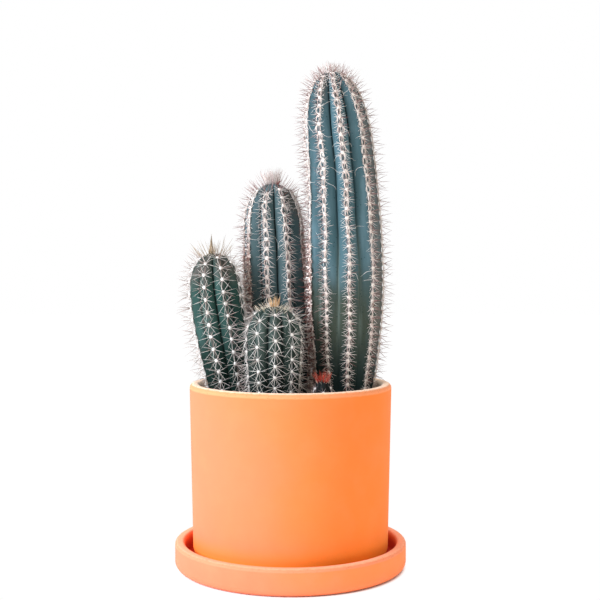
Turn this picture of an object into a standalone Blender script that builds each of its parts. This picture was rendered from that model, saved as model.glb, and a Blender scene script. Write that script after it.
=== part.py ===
"""Potted blue torch cactus: five ribbed stems in a terracotta pot that stands on its saucer.

Metres, +Z up. The saucer's underside is centred on the origin, and -Y is the front.
"""

import math
import random
from dataclasses import dataclass

import bmesh
import bpy
from mathutils import Matrix, Vector, noise
from mathutils.geometry import intersect_line_line

# Touching pieces keep this gap.
GAP = 0.0003
LATHE_STEPS = 48
MERGE = 0.00005

# Saucer: a thick dish with soft edges.
SAUCER_RADIUS = 0.0885
SAUCER_HEIGHT = 0.020
SAUCER_WALL = 0.0074
SAUCER_FLOOR = 0.006
SAUCER_HEEL = 0.0055
SAUCER_LIP = 0.0024
SAUCER_COVE = 0.003

# Pot: a cylinder that tapers a little to its foot. Its rim height is measured from the saucer's underside.
POT_RADIUS = 0.0775
POT_FOOT_RADIUS = 0.0745
POT_RIM_HEIGHT = 0.140
POT_WALL = 0.0081
POT_FLOOR = 0.009
POT_HEEL = 0.010
POT_LIP = 0.0034
POT_COVE = 0.006
DRAIN_RADIUS = 0.007

# Soil: fills the pot to this far below its rim.
SOIL_DROP = 0.018
SOIL_CROWN = 0.003
SOIL_LUMPS = 0.0012
SOIL_LUMP_SIZE = 0.012

POT_BASE = SAUCER_FLOOR + GAP
POT_BORE = POT_RADIUS - POT_WALL
POT_FLOOR_TOP = POT_BASE + POT_FLOOR
SOIL_TOP = POT_RIM_HEIGHT - SOIL_DROP
SOIL_RIM = SOIL_TOP - SOIL_CROWN

# Ribs: a flat crest this wide between straight flanks that meet in a furrow.
CREST_HALF_ANGLE = math.radians(6.5)
HOLE_GAP = 0.0005
FOOT_ROUND = 0.010
CROWN_POWER = 2.3
RING_STEP = 0.0135
CROWN_RINGS = (18, 36, 53, 67, 79)
FOOT_RINGS = (38, 90)

# Spines: three-sided needles whose roots are sunk in the stem.
SPINE_ROOT = 0.0005
SPINE_SUNK = 0.0016
SPINES_APART = 0.0020
SPINE_TRIES = 14
GOLDEN = math.radians(137.508)
CLEAR_OF_STEMS = 0.0012
CLEAR_OF_SPINES = 0.0011
CLEAR_OF_POT = 0.0010


@dataclass
class Stem:
    """A ribbed stem; each station is a point of its middle line and the radius of its crests there.

    Ribs are the crests' angles in degrees, from the front towards +X, and anchor is the height of one
    ring of areoles, which stand a step apart on the even ribs and half a step off on the odd ones.
    """

    name: str
    ribs: tuple
    furrow: float
    stations: tuple
    crown_height: float
    anchor: float
    spine_step: float
    spines_each: tuple
    spine_length: tuple
    tuft: int
    tuft_length: tuple
    tuft_radius: float
    colour: tuple

    def curve(self, t):
        """Middle point and radius at t, which counts stations from the foot, on a smooth curve."""
        last = len(self.stations) - 1
        i = min(int(t), last - 1)
        rows = [self.stations[min(max(j, 0), last)] for j in range(i - 1, i + 3)]
        f = t - i
        weights = (
            0.5 * (-f + 2 * f * f - f**3),
            0.5 * (2 - 5 * f * f + 3 * f**3),
            0.5 * (f + 4 * f * f - 3 * f**3),
            0.5 * (f**3 - f * f),
        )
        return [sum(w * row[k] for w, row in zip(weights, rows)) for k in range(4)]

    def measure(self, per_station=24):
        """Lay out the middle line as points with their distance from the foot."""
        count = (len(self.stations) - 1) * per_station
        self.samples = [self.curve(i / per_station) for i in range(count + 1)]
        self.along = [0.0]
        for a, b in zip(self.samples, self.samples[1:]):
            self.along.append(self.along[-1] + (Vector(b[:3]) - Vector(a[:3])).length)
        self.length = self.along[-1]
        self.crown_start = self.length - self.crown_height

    def middle(self, s):
        """Middle point, direction of growth and column radius at a distance s from the foot."""
        i = next((n for n, d in enumerate(self.along[1:]) if d >= s), len(self.along) - 2)
        f = (s - self.along[i]) / (self.along[i + 1] - self.along[i])
        a, b = self.samples[i], self.samples[i + 1]
        centre = Vector(a[:3]).lerp(Vector(b[:3]), f)
        growth = (Vector(b[:3]) - Vector(a[:3])).normalized()
        return centre, growth, a[3] + f * (b[3] - a[3])

    def crest(self, s):
        """Crest radius at s: the column's, closed by a dome at the crown and a round at the foot."""
        radius = self.middle(s)[2]
        if s > self.crown_start:
            u = min((s - self.crown_start) / self.crown_height, 1)
            radius *= (1 - u**CROWN_POWER) ** (1 / CROWN_POWER)
        if s < FOOT_ROUND:
            radius *= math.sqrt(1 - (1 - s / FOOT_ROUND) ** 2)
        return radius

    def axes(self, s):
        """The middle point at s, with the directions of growth, right and front there."""
        centre, growth, _ = self.middle(s)
        right = Vector((1, 0, 0))
        right = (right - growth * right.dot(growth)).normalized()
        return centre, growth, right, right.cross(growth).normalized()

    def outward(self, s, angle):
        """Unit vector from the middle line, at an angle turned from the front towards +X."""
        _, _, right, front = self.axes(s)
        return right * math.sin(angle) + front * math.cos(angle)

    def normal(self, s, angle):
        """Direction that a crest faces at s, leaning up where the crown closes."""
        step = 0.0008
        low, high = max(s - step, 0), min(s + step, self.length)
        slope = (self.crest(low) - self.crest(high)) / (high - low)
        return (self.outward(s, angle) + self.axes(s)[1] * slope).normalized()

    def rib_angle(self, rib):
        """Angle of a rib's crest; counting on past the last rib goes round again."""
        turns, number = divmod(rib, len(self.ribs))
        return math.radians(self.ribs[number] + 360 * turns)

    def distance_at(self, height):
        """Distance from the foot to where the middle line passes a height."""
        return next(d for d, row in zip(self.along, self.samples) if row[2] > height)

    def soil_line(self):
        return self.distance_at(SOIL_TOP)


TALL = Stem(
    name="stem_tall",
    ribs=(-66, -32, 4, 43.5, 87, 128, 168, 208, 251),
    furrow=0.75,
    stations=(
        (0.0402, 0.006, 0.092, 0.0190),
        (0.0410, 0.005, 0.125, 0.0212),
        (0.0417, 0.005, 0.158, 0.0254),
        (0.0421, 0.005, 0.205, 0.0292),
        (0.0413, 0.005, 0.255, 0.0288),
        (0.0387, 0.005, 0.305, 0.0268),
        (0.0345, 0.005, 0.345, 0.0260),
        (0.0310, 0.005, 0.380, 0.0257),
    ),
    crown_height=0.060,
    anchor=0.3078,
    spine_step=0.0070,
    spines_each=(1,),
    spine_length=(0.006, 0.009),
    tuft=14,
    tuft_length=(0.007, 0.010),
    tuft_radius=0.009,
    colour=(0.090, 0.190, 0.240),
)

MIDDLE = Stem(
    name="stem_middle",
    ribs=(-56, -15, 24, 65, 107, 148, 187, 226, 265),
    furrow=0.74,
    stations=(
        (-0.0086, 0.0285, 0.092, 0.0192),
        (-0.0076, 0.0282, 0.130, 0.0236),
        (-0.0092, 0.0280, 0.175, 0.0250),
        (-0.0117, 0.0280, 0.225, 0.0248),
        (-0.0134, 0.0280, 0.262, 0.0235),
        (-0.0146, 0.0280, 0.295, 0.0226),
    ),
    crown_height=0.036,
    anchor=0.2544,
    spine_step=0.0073,
    spines_each=(1,),
    spine_length=(0.006, 0.010),
    tuft=16,
    tuft_length=(0.009, 0.013),
    tuft_radius=0.006,
    colour=(0.075, 0.150, 0.170),
)

LEFT = Stem(
    name="stem_left",
    ribs=(-70, -20, 21, 65, 110, 155, 200, 245),
    furrow=0.74,
    stations=(
        (-0.0415, 0.001, 0.094, 0.0130),
        (-0.0445, 0.000, 0.128, 0.0170),
        (-0.0484, 0.000, 0.155, 0.0200),
        (-0.0534, 0.000, 0.182, 0.0212),
        (-0.0574, 0.000, 0.208, 0.0210),
        (-0.0599, 0.000, 0.2392, 0.0202),
    ),
    crown_height=0.030,
    anchor=0.2096,
    spine_step=0.0093,
    spines_each=(1, 2),
    spine_length=(0.009, 0.014),
    tuft=14,
    tuft_length=(0.008, 0.014),
    tuft_radius=0.007,
    colour=(0.050, 0.150, 0.130),
)

FRONT = Stem(
    name="stem_front",
    ribs=(-78, -35, 4, 42, 82, 122, 162, 202, 242),
    furrow=0.74,
    stations=(
        (-0.0120, -0.030, 0.094, 0.0150),
        (-0.0122, -0.030, 0.122, 0.0172),
        (-0.0124, -0.030, 0.148, 0.0192),
        (-0.0125, -0.030, 0.172, 0.0204),
        (-0.0120, -0.030, 0.1995, 0.0202),
    ),
    crown_height=0.024,
    anchor=0.1754,
    spine_step=0.0094,
    spines_each=(1, 2),
    spine_length=(0.008, 0.011),
    tuft=14,
    tuft_length=(0.006, 0.009),
    tuft_radius=0.006,
    colour=(0.100, 0.160, 0.145),
)

PUP = Stem(
    name="pup",
    ribs=(-56, 4, 64, 124, 184, 244),
    furrow=0.80,
    stations=(
        (0.0235, -0.042, 0.104, 0.0050),
        (0.0235, -0.042, 0.124, 0.0064),
        (0.0235, -0.042, 0.146, 0.0070),
    ),
    crown_height=0.010,
    anchor=0.1405,
    spine_step=0.0078,
    spines_each=(1,),
    spine_length=(0.005, 0.008),
    tuft=10,
    tuft_length=(0.006, 0.009),
    tuft_radius=0.0035,
    colour=(0.040, 0.060, 0.055),
)

STEMS = (TALL, MIDDLE, LEFT, FRONT, PUP)


def clear_scene():
    for obj in list(bpy.data.objects):
        bpy.data.objects.remove(obj)


def new_collection(name):
    collection = bpy.data.collections.new(name)
    bpy.context.scene.collection.children.link(collection)
    return collection


def make_material(name, colour, roughness):
    material = bpy.data.materials.new(name)
    material.use_nodes = True
    shader = material.node_tree.nodes["Principled BSDF"]
    shader.inputs["Base Color"].default_value = (*colour, 1)
    shader.inputs["Roughness"].default_value = roughness
    shader.inputs["Metallic"].default_value = 0
    return material


def arc(radius, height, bend, start, end, steps=3):
    """Points of an arc about (radius, height), between two angles in degrees from outward to up."""
    angles = [math.radians(start + (end - start) * i / steps) for i in range(steps + 1)]
    return [(radius + bend * math.cos(a), height + bend * math.sin(a)) for a in angles]


def lathe(name, profile, closed, collection, material=None):
    """Turn a profile of (radius, height) points about Z; it runs down the piece's outer side."""
    edges = [(i, i + 1) for i in range(len(profile) - 1)]
    if closed:
        edges.append((len(profile) - 1, 0))
    mesh = bpy.data.meshes.new(name)
    mesh.from_pydata([(r, 0, z) for r, z in profile], edges, [])
    obj = bpy.data.objects.new(name, mesh)
    collection.objects.link(obj)
    screw = obj.modifiers.new("Turn", "SCREW")
    screw.axis = "Z"
    screw.steps = LATHE_STEPS
    screw.render_steps = LATHE_STEPS
    screw.use_merge_vertices = True
    screw.merge_threshold = MERGE
    if material:
        mesh.materials.append(material)
    return obj


def freeze(obj):
    """Replace an object's mesh by its evaluated mesh, and drop its modifiers."""
    graph = bpy.context.evaluated_depsgraph_get()
    mesh = bpy.data.meshes.new_from_object(obj.evaluated_get(graph), depsgraph=graph)
    obj.modifiers.clear()
    obj.data = mesh


def shade(obj, angle=35):
    obj.data.shade_smooth()
    obj.data.set_sharp_from_angle(angle=math.radians(angle))


def build_saucer(collection, material):
    inner = SAUCER_RADIUS - SAUCER_WALL
    top = SAUCER_HEIGHT - SAUCER_LIP
    profile = [(0, SAUCER_FLOOR)]
    profile += arc(inner - SAUCER_COVE, SAUCER_FLOOR + SAUCER_COVE, SAUCER_COVE, -90, 0, 2)
    profile += arc(inner + SAUCER_LIP, top, SAUCER_LIP, 180, 90)
    profile += arc(SAUCER_RADIUS - SAUCER_LIP, top, SAUCER_LIP, 90, 0)
    profile += arc(SAUCER_RADIUS - SAUCER_HEEL, SAUCER_HEEL, SAUCER_HEEL, 0, -90)
    profile += [(0, 0)]
    saucer = lathe("saucer", profile, False, collection, material)
    shade(saucer)
    return saucer


def pot_side(height):
    """Outer radius of the pot's straight side at a height."""
    share = (height - POT_BASE) / (POT_RIM_HEIGHT - POT_BASE)
    return POT_FOOT_RADIUS + (POT_RADIUS - POT_FOOT_RADIUS) * share


def pot_bore(height):
    return pot_side(height) - POT_WALL


def build_pot(collection, material):
    lip = POT_RIM_HEIGHT - POT_LIP
    heel = POT_BASE + POT_HEEL
    cove = POT_FLOOR_TOP + POT_COVE
    profile = arc(POT_RADIUS - POT_LIP, lip, POT_LIP, 90, 0)
    profile += arc(pot_side(heel) - POT_HEEL, heel, POT_HEEL, 0, -90, 4)
    profile += [(DRAIN_RADIUS, POT_BASE), (DRAIN_RADIUS, POT_FLOOR_TOP)]
    profile += arc(pot_bore(cove) - POT_COVE, cove, POT_COVE, -90, 0, 2)
    profile += arc(POT_BORE + POT_LIP, lip, POT_LIP, 180, 90)[:-1]
    pot = lathe("pot", profile, True, collection, material)
    shade(pot)
    return pot


def soil_surface(radius):
    """Height of the soil, which is a little higher in the middle."""
    return SOIL_RIM + SOIL_CROWN * (1 - (radius / POT_BORE) ** 2)


def build_soil(collection, cutters, material):
    """A turned filling with a lumpy top and a plain hole for each stem's foot."""
    edge = pot_bore(SOIL_RIM) - GAP
    rings = [edge * share for share in (0.25, 0.5, 0.75)]
    profile = [(0, soil_surface(0))] + [(r, soil_surface(r)) for r in rings] + [(edge, soil_surface(edge))]
    cove = POT_FLOOR_TOP + POT_COVE
    profile += arc(pot_bore(cove) - POT_COVE, cove, POT_COVE - GAP, 0, -90, 2)
    profile += [(0, POT_FLOOR_TOP + GAP)]
    soil = lathe("soil", profile, False, collection, material)
    freeze(soil)
    for vertex in soil.data.vertices:
        radius = Vector(vertex.co[:2]).length
        if vertex.co.z > SOIL_RIM + 0.0001 and radius < 0.9 * edge:
            vertex.co.z += SOIL_LUMPS * noise.noise(vertex.co / SOIL_LUMP_SIZE)
    holes = soil.modifiers.new("Stem holes", "BOOLEAN")
    holes.operand_type = "COLLECTION"
    holes.collection = cutters
    holes.operation = "DIFFERENCE"
    holes.solver = "EXACT"
    return soil


def rib_outline(stem, s, extra=0):
    """Angle and radius of each corner of the ribbed section at s: two to a crest, one to a furrow."""
    crest = stem.crest(s)
    outline = []
    for rib in range(len(stem.ribs)):
        angle = stem.rib_angle(rib)
        outline.append((angle - CREST_HALF_ANGLE, crest + extra))
        outline.append((angle + CREST_HALF_ANGLE, crest + extra))
        furrow_angle = (angle + stem.rib_angle(rib + 1)) / 2
        outline.append((furrow_angle, crest * stem.furrow + extra))
    return outline


def ring_places(stem):
    """Distances from the foot at which the loft has a ring, closer where the foot and crown round off."""
    foot = [FOOT_ROUND * (1 - math.cos(math.radians(a))) for a in FOOT_RINGS]
    column = stem.crown_start - FOOT_ROUND
    count = max(1, round(column / RING_STEP))
    middle = [FOOT_ROUND + column * i / count for i in range(1, count + 1)]
    crown = [stem.crown_start + stem.crown_height * math.sin(math.radians(a)) for a in CROWN_RINGS]
    return foot + middle + crown


def loft(name, stem, places, extra, start, end):
    """Join ribbed rings at the given places, closed by a pole point before and after them."""
    mesh = bmesh.new()
    rings = []
    for s in places:
        centre = stem.axes(s)[0]
        ring = [centre + stem.outward(s, a) * r for a, r in rib_outline(stem, s, extra)]
        rings.append([mesh.verts.new(point) for point in ring])
    count = len(rings[0])
    for low, high in zip(rings, rings[1:]):
        for i in range(count):
            j = (i + 1) % count
            mesh.faces.new((low[i], low[j], high[j], high[i]))
    for ring, point in ((rings[0], start), (rings[-1], end)):
        pole = mesh.verts.new(point)
        for i in range(count):
            mesh.faces.new((ring[i], ring[(i + 1) % count], pole))
    bmesh.ops.recalc_face_normals(mesh, faces=mesh.faces)
    data = bpy.data.meshes.new(name)
    mesh.to_mesh(data)
    mesh.free()
    return bpy.data.objects.new(name, data)


def hole_cutter(stem, cutters):
    """The stem's foot a little enlarged, which cuts its hole in the soil."""
    clear = stem.soil_line() + 0.012
    places = [s for s in ring_places(stem) if s < clear] + [clear]
    below = stem.axes(0)[0] - stem.axes(0)[1] * HOLE_GAP
    obj = loft(stem.name + "_hole", stem, places, HOLE_GAP, below, stem.axes(clear)[0])
    obj.hide_render = True
    obj.display_type = "WIRE"
    cutters.objects.link(obj)


def near_line(stem, point):
    """How far a point is outside a stem's crests."""
    gaps = [(point - Vector(row[:3])).length - row[3] for row in stem.samples[::6]]
    return min(gaps)


def clear_of_pot(point):
    radius = math.hypot(point.x, point.y)
    if radius > SAUCER_RADIUS - CLEAR_OF_POT or point.z < SOIL_TOP + CLEAR_OF_POT:
        return False
    inside = radius < POT_BORE - CLEAR_OF_POT
    return inside or point.z > POT_RIM_HEIGHT + CLEAR_OF_POT


def spine_is_clear(root, tip, stem, placed):
    """Whether a spine misses the pot, the soil, the other stems and their spines."""
    for share in (0.0, 0.25, 0.5, 0.75, 1.0):
        point = root.lerp(tip, share)
        if not clear_of_pot(point):
            return False
        if any(near_line(other, point) < CLEAR_OF_STEMS for other in STEMS if other is not stem):
            return False
    for owner, a, b in placed:
        if owner is stem or (a - root).length > 0.05:
            continue
        if segment_gap(root, tip, a, b) < CLEAR_OF_SPINES:
            return False
    return True


def segment_gap(a, b, c, d):
    """Shortest distance between two straight segments."""
    gaps = [point_gap(a, c, d), point_gap(b, c, d), point_gap(c, a, b), point_gap(d, a, b)]
    crossing = intersect_line_line(a, b, c, d)
    if crossing:
        on_first, on_second = crossing
        if 0 < (on_first - a).dot(b - a) < (b - a).length_squared:
            if 0 < (on_second - c).dot(d - c) < (d - c).length_squared:
                gaps.append((on_first - on_second).length)
    return min(gaps)


def point_gap(point, a, b):
    share = max(0, min(1, (point - a).dot(b - a) / (b - a).length_squared))
    return (point - a.lerp(b, share)).length


def side_spines(stem, draw):
    """Place on its rib, turn and length of each spine; an areole's spines stand a little apart."""
    start = stem.soil_line() + 0.006
    end = stem.length - 0.0025
    level = stem.distance_at(stem.anchor)
    for rib in range(len(stem.ribs)):
        offset = level + stem.spine_step * (rib % 2) / 2
        s = start + (offset - start) % stem.spine_step
        turn = rib * 1.7
        areole = rib
        while s < end:
            count = stem.spines_each[areole % len(stem.spines_each)]
            for n in range(count):
                turn += GOLDEN
                place = s + SPINES_APART * (n - (count - 1) / 2)
                yield place, stem.rib_angle(rib), turn, draw.uniform(*stem.spine_length)
            s += stem.spine_step * (0.75 if s > stem.crown_start else 1)
            areole += 1


def spine_ends(stem, s, angle, turn, lean, length):
    """Root and tip of a spine on a crest, leaning from the crest's normal in the direction of turn."""
    normal = stem.normal(s, angle)
    across = normal.cross(stem.axes(s)[1]).normalized()
    along = across.cross(normal)
    sideways = across * math.cos(turn) + along * math.sin(turn)
    direction = normal * math.cos(lean) + sideways * math.sin(lean)
    root = stem.axes(s)[0] + stem.outward(s, angle) * stem.crest(s)
    return root, root + direction * length


def tuft_spines(stem, draw):
    """Root and tip of each spine of the crown's tuft, fanned out round the growing point."""
    centre, growth, right, front = stem.axes(stem.length)
    for i in range(stem.tuft):
        share = math.sqrt((i + 0.5) / stem.tuft)
        turn = i * GOLDEN
        out = right * math.sin(turn) + front * math.cos(turn)
        low = stem.crown_height * 0.12 * share**2
        root = centre - growth * (low + 0.0004) + out * stem.tuft_radius * 0.55 * share
        direction = (growth * (1.25 - 0.75 * share) + out * 0.75 * share).normalized()
        yield root, root + direction * draw.uniform(*stem.tuft_length)


def needle_mesh():
    """A three-sided needle of unit root radius and unit height, standing on the origin."""
    mesh = bmesh.new()
    bmesh.ops.create_cone(mesh, cap_ends=True, segments=3, radius1=1, radius2=0, depth=1,
                          matrix=Matrix.Translation((0, 0, 0.5)))
    data = bpy.data.meshes.new("needle")
    mesh.to_mesh(data)
    mesh.free()
    return data


def add_needle(needle, collection, root, tip, name):
    """Stand a needle at a root, sunk into the stem, with its point at the tip."""
    direction = (tip - root).normalized()
    start = root - direction * SPINE_SUNK
    obj = bpy.data.objects.new(name, needle)
    turn = direction.to_track_quat("Z", "Y").to_matrix().to_4x4()
    size = Matrix.Diagonal((SPINE_ROOT, SPINE_ROOT, (tip - start).length, 1))
    obj.matrix_world = Matrix.Translation(start) @ turn @ size
    collection.objects.link(obj)


def plan_spines(stem, placed, draw):
    """Choose every spine of a stem, bent or shortened where it would touch something else."""
    chosen = []
    for s, angle, turn, length in side_spines(stem, draw):
        lean = math.radians(draw.uniform(18, 58))
        for attempt in range(SPINE_TRIES):
            reach = length * (1 - 0.04 * attempt)
            root, tip = spine_ends(stem, s, angle, turn + GOLDEN * attempt, lean, reach)
            if spine_is_clear(root, tip, stem, placed):
                chosen.append((stem, root, tip))
                break
    for root, tip in tuft_spines(stem, draw):
        if spine_is_clear(root, tip, stem, placed):
            chosen.append((stem, root, tip))
    return chosen


def build_stem(stem, collection, material, needle, spines):
    """Loft the ribbed body and join its spines to it."""
    places = ring_places(stem)
    body = loft(stem.name, stem, places, 0, stem.axes(0)[0], stem.axes(stem.length)[0])
    collection.objects.link(body)
    body.data.materials.append(material)
    loose = new_collection(stem.name + "_spines")
    for number, (_, root, tip) in enumerate(spines):
        add_needle(needle, loose, root, tip, f"{stem.name}_spine_{number}")
    union = body.modifiers.new("Spines", "BOOLEAN")
    union.operand_type = "COLLECTION"
    union.collection = loose
    union.operation = "UNION"
    union.solver = "EXACT"
    freeze(body)
    for obj in list(loose.objects):
        bpy.data.objects.remove(obj)
    bpy.data.collections.remove(loose)
    shade(body, 25)
    return body


def main():
    clear_scene()
    parts = new_collection("potted_cactus")
    cutters = new_collection("soil_holes")
    for stem in STEMS:
        stem.measure()
        hole_cutter(stem, cutters)
    build_saucer(parts, make_material("saucer_clay", (0.85, 0.34, 0.17), 0.8))
    build_pot(parts, make_material("pot_clay", (0.88, 0.30, 0.10), 0.8))
    build_soil(parts, cutters, make_material("soil", (0.05, 0.035, 0.025), 0.95))
    needle = needle_mesh()
    draw = random.Random(7)
    placed = []
    for stem in STEMS:
        spines = plan_spines(stem, placed, draw)
        placed += spines
        material = make_material(stem.name + "_skin", stem.colour, 0.5)
        build_stem(stem, parts, material, needle, spines)


main()
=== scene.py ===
"""Potted blue torch cactus: five ribbed stems with wool and spines, in a terracotta pot on its saucer.

Metres, +Z up. The saucer's underside is centred on the origin, and -Y is the front.
"""
import math
from dataclasses import dataclass
from itertools import combinations

import bpy
import numpy as np
from bpy.props import FloatProperty, FloatVectorProperty, IntProperty, PointerProperty
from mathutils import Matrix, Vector, noise


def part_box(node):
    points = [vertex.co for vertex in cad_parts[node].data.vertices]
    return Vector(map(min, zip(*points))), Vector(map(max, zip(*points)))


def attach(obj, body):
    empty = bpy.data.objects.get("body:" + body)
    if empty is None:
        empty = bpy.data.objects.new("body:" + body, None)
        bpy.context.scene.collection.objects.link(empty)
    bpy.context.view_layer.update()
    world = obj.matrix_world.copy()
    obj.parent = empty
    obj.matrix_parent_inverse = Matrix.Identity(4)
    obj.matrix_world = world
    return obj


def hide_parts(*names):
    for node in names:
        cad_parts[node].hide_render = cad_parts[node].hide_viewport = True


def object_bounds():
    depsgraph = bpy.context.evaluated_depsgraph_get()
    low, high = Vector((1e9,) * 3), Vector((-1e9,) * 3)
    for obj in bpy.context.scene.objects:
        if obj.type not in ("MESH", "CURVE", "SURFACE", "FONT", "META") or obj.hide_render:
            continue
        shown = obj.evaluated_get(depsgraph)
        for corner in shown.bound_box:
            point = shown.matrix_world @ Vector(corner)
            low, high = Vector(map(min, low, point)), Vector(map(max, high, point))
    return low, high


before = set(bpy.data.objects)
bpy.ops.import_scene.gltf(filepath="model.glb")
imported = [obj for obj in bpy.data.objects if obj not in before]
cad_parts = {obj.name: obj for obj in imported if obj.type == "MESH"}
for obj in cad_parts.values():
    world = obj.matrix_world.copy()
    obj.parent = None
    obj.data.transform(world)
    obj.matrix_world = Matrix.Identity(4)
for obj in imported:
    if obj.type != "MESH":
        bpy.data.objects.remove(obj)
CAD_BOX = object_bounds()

bl_info = {
    "name": "Potted Blue Torch Cactus",
    "version": (1, 0, 0),
    "blender": (4, 5, 0),
    "location": "3D View > Sidebar > Cactus",
    "description": "Dresses the packed cactus in clay, soil, ribbed skin, wool, spines and hairs",
    "category": "Object",
}

MM = 0.001

# Saucer and pot: the frame gives their outsides, and these are their walls and rounded edges.
SAUCER_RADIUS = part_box("saucer")[1].x
SAUCER_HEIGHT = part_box("saucer")[1].z
SAUCER_WALL = 0.0074
SAUCER_FLOOR = 0.006
SAUCER_HEEL = 0.0055
SAUCER_LIP = 0.0024
SAUCER_COVE = 0.003
POT_RADIUS = 0.0775
POT_FOOT_RADIUS = 0.0745
POT_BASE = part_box("pot")[0].z
POT_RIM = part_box("pot")[1].z
POT_WALL = 0.0081
POT_FLOOR = 0.009
POT_HEEL = 0.010
POT_LIP = 0.0034
POT_COVE = 0.006
DRAIN_RADIUS = 0.007
FLOOR_TOP = POT_BASE + POT_FLOOR
POT_BORE = POT_RADIUS - POT_WALL

# Soil, whose middle stands a little higher than its rim, and its loose grains.
SOIL_TOP = 0.122
SOIL_CROWN = 0.003
SOIL_RIM = SOIL_TOP - SOIL_CROWN
SOIL_RINGS = 46
SOIL_STEPS = 150
GAP = 0.0003
GRAIN_SIZES = (0.0004, 0.0021)
GRAIN_POINTS = 12
GRAIN_MARGIN = 0.0022

# Shape of a stem's closed ends, and how far round a rib its columns of points lie, from crest to furrow.
CROWN_POWER = 2.3
FOOT_ROUND = 0.010
RIB_SHARES = np.array((0, 0.07, 0.16, 0.27, 0.39, 0.51, 0.63, 0.74, 0.84, 0.92, 0.97))

# The ribs waver by so many degrees, once in so many metres.
RIB_WAVER = 0.9
RIB_WAVE = 0.055

# Skin: its close rings start a little below the soil; widths are shares of half a rib, the weathered
# sides' edges are in degrees, and shallow furrows set in below a height.
BURIED = 0.005
FOOT_RINGS = (0.0002, 0.002, 0.005)
CREASE_WIDTH = 0.05
NOTCH_WIDTH = 0.24
RIPPLE = 0.00016
RIPPLE_WAVE = 0.0042
SHALLOW_BELOW = 0.27
SHALLOW_FADE = 0.09
WEATHER_EDGE = 12
WEATHER_FADE = 0.014

# Areoles: how near they come to the crown, its tip and the soil, and how unevenly they stand.
CROWN_MARGIN = 0.0006
TIP_MARGIN = 0.0004
SOIL_MARGIN = 0.0015
AREOLE_JITTER = 0.03
SLOPE_STEP = 0.0004
CROWDING_FADE = 0.03

# Age of the areoles, partly painted shade: the ribs that face the other stems look aged and browner below a
# height, which also stands for the shade there; they are paler again near the foot, and shaggy.
AGED_SHADED_BELOW = 0.265
AGED_SHADED_FADE = 0.040
YOUNG_UNSHADED_RIB = 0.12
FOOT_BELOW = 0.200
FOOT_FADE = 0.045
FOOT_PALING = 0.55
SHAGGY_BELOW = 0.246

# Columns of an areole's row, after its place.
OUT, UP, ACROSS, SIZE, AGED_SHADED, FAR, SHAGGY = slice(3, 6), slice(6, 9), slice(9, 12), 12, 13, 14, 15

# Wool pads: angles of their rings from the top, points on a ring, and how far they stand out.
PAD_RINGS = np.radians((30, 58, 84, 112))
PAD_STEPS = 9
PAD_LIFT = 0.1 * MM

# Strands: how they taper, where they root, what they must miss, and the shares they are cut back to.
STRAND_TAPER = 0.4
STRAND_TIP = 0.2
ROOT_RING = 0.4 * MM
ROOT_SUNK = 0.1 * MM
SOIL_DIP = 0.001
RIM_CLEARANCE = 0.0004
CORE_SHARE = 0.97
CUTS = (0.8, 0.6, 0.42)

# Wool, braids and curls: their thickness, how the braids fill out upwards, and where the curls lie.
WOOL_HAIR = 0.09 * MM
BRAID_HAIR = 0.21 * MM
BRAID_SCATTER = 0.14 * MM
BRAID_FADE = 0.03
BRAID_SHARES = (0.40, 0.86)
CURL_HAIR = 0.155 * MM
CURL_POINTS = 12
CURLS_BELOW_TOP = 0.17
CURL_HEIGHTS = (0.3 * MM, 3.2 * MM)

# Crowns: the left stem's upright spike, the dark spine beside the middle stem's brush, and the tufts.
SPIKE_HAIR = 0.27 * MM
SPIKE_RADIUS = 2.5 * MM
SPIKE_SUNK = 1.5 * MM
SPIKE_LENGTHS = (18.0 * MM, 10.5 * MM)
SPIKE_LEAN = (0.09, 0, 0.4)
SPIKE_SHIFT = (-0.0014, 0, 0)
DARK_SPINE = 0.7 * MM
DARK_SPINE_POINTS = ((0.0040, -0.0084, -0.0008), (0.0058, -0.0091, 0.0008), (0.0074, -0.0098, 0.0022))
TUFT_SUNK = 0.001
GOLDEN_ANGLE = math.radians(137.508)

# A seed for each kind of random draw, so that every run gives the same plant.
GRAIN_SEED = 5
AREOLE_SEED = 11
WOOL_SEED = 21
SPINE_SEED = 31
HAIR_SEED = 41
TUFT_SEED = 51

# Stage: the floor lies just under the saucer, whose contact shadow fades out between two distances.
FLOOR_HALF = 4.0
FLOOR_LEVEL = -0.00005
FLOOR_GLOW = 0.52
FLOOR_WHITE = 1.01
SHADOW_CENTRE = (0.0010, -0.0004, 0)
SHADOW_INNER = 0.0848
SHADOW_OUTER = 0.0890
LIGHT_TARGET = (0, 0, 0.18)
CAMERA_PLACE = (0, -0.8525, 0.2327)
CAMERA_SHIFT = (0.0158, -0.0632)


@dataclass
class Coat:
    """One kind of spine on an areole; angles are in degrees, length and thickness in millimetres."""

    count: int
    arc: tuple
    lean: tuple
    length: tuple
    thick: float
    tone: tuple
    downward: float = 0.0
    spread: float = 0.0
    # How far a spine's tone moves with its areole's age, which is partly painted shade.
    age_shading: float = 0.75


@dataclass
class Tuft:
    """Bristles that fan out from a disc at a stem's top; their length and thickness are in millimetres."""

    count: int
    radius: float
    length: tuple
    fan: float
    thick: float
    tone: tuple


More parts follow.
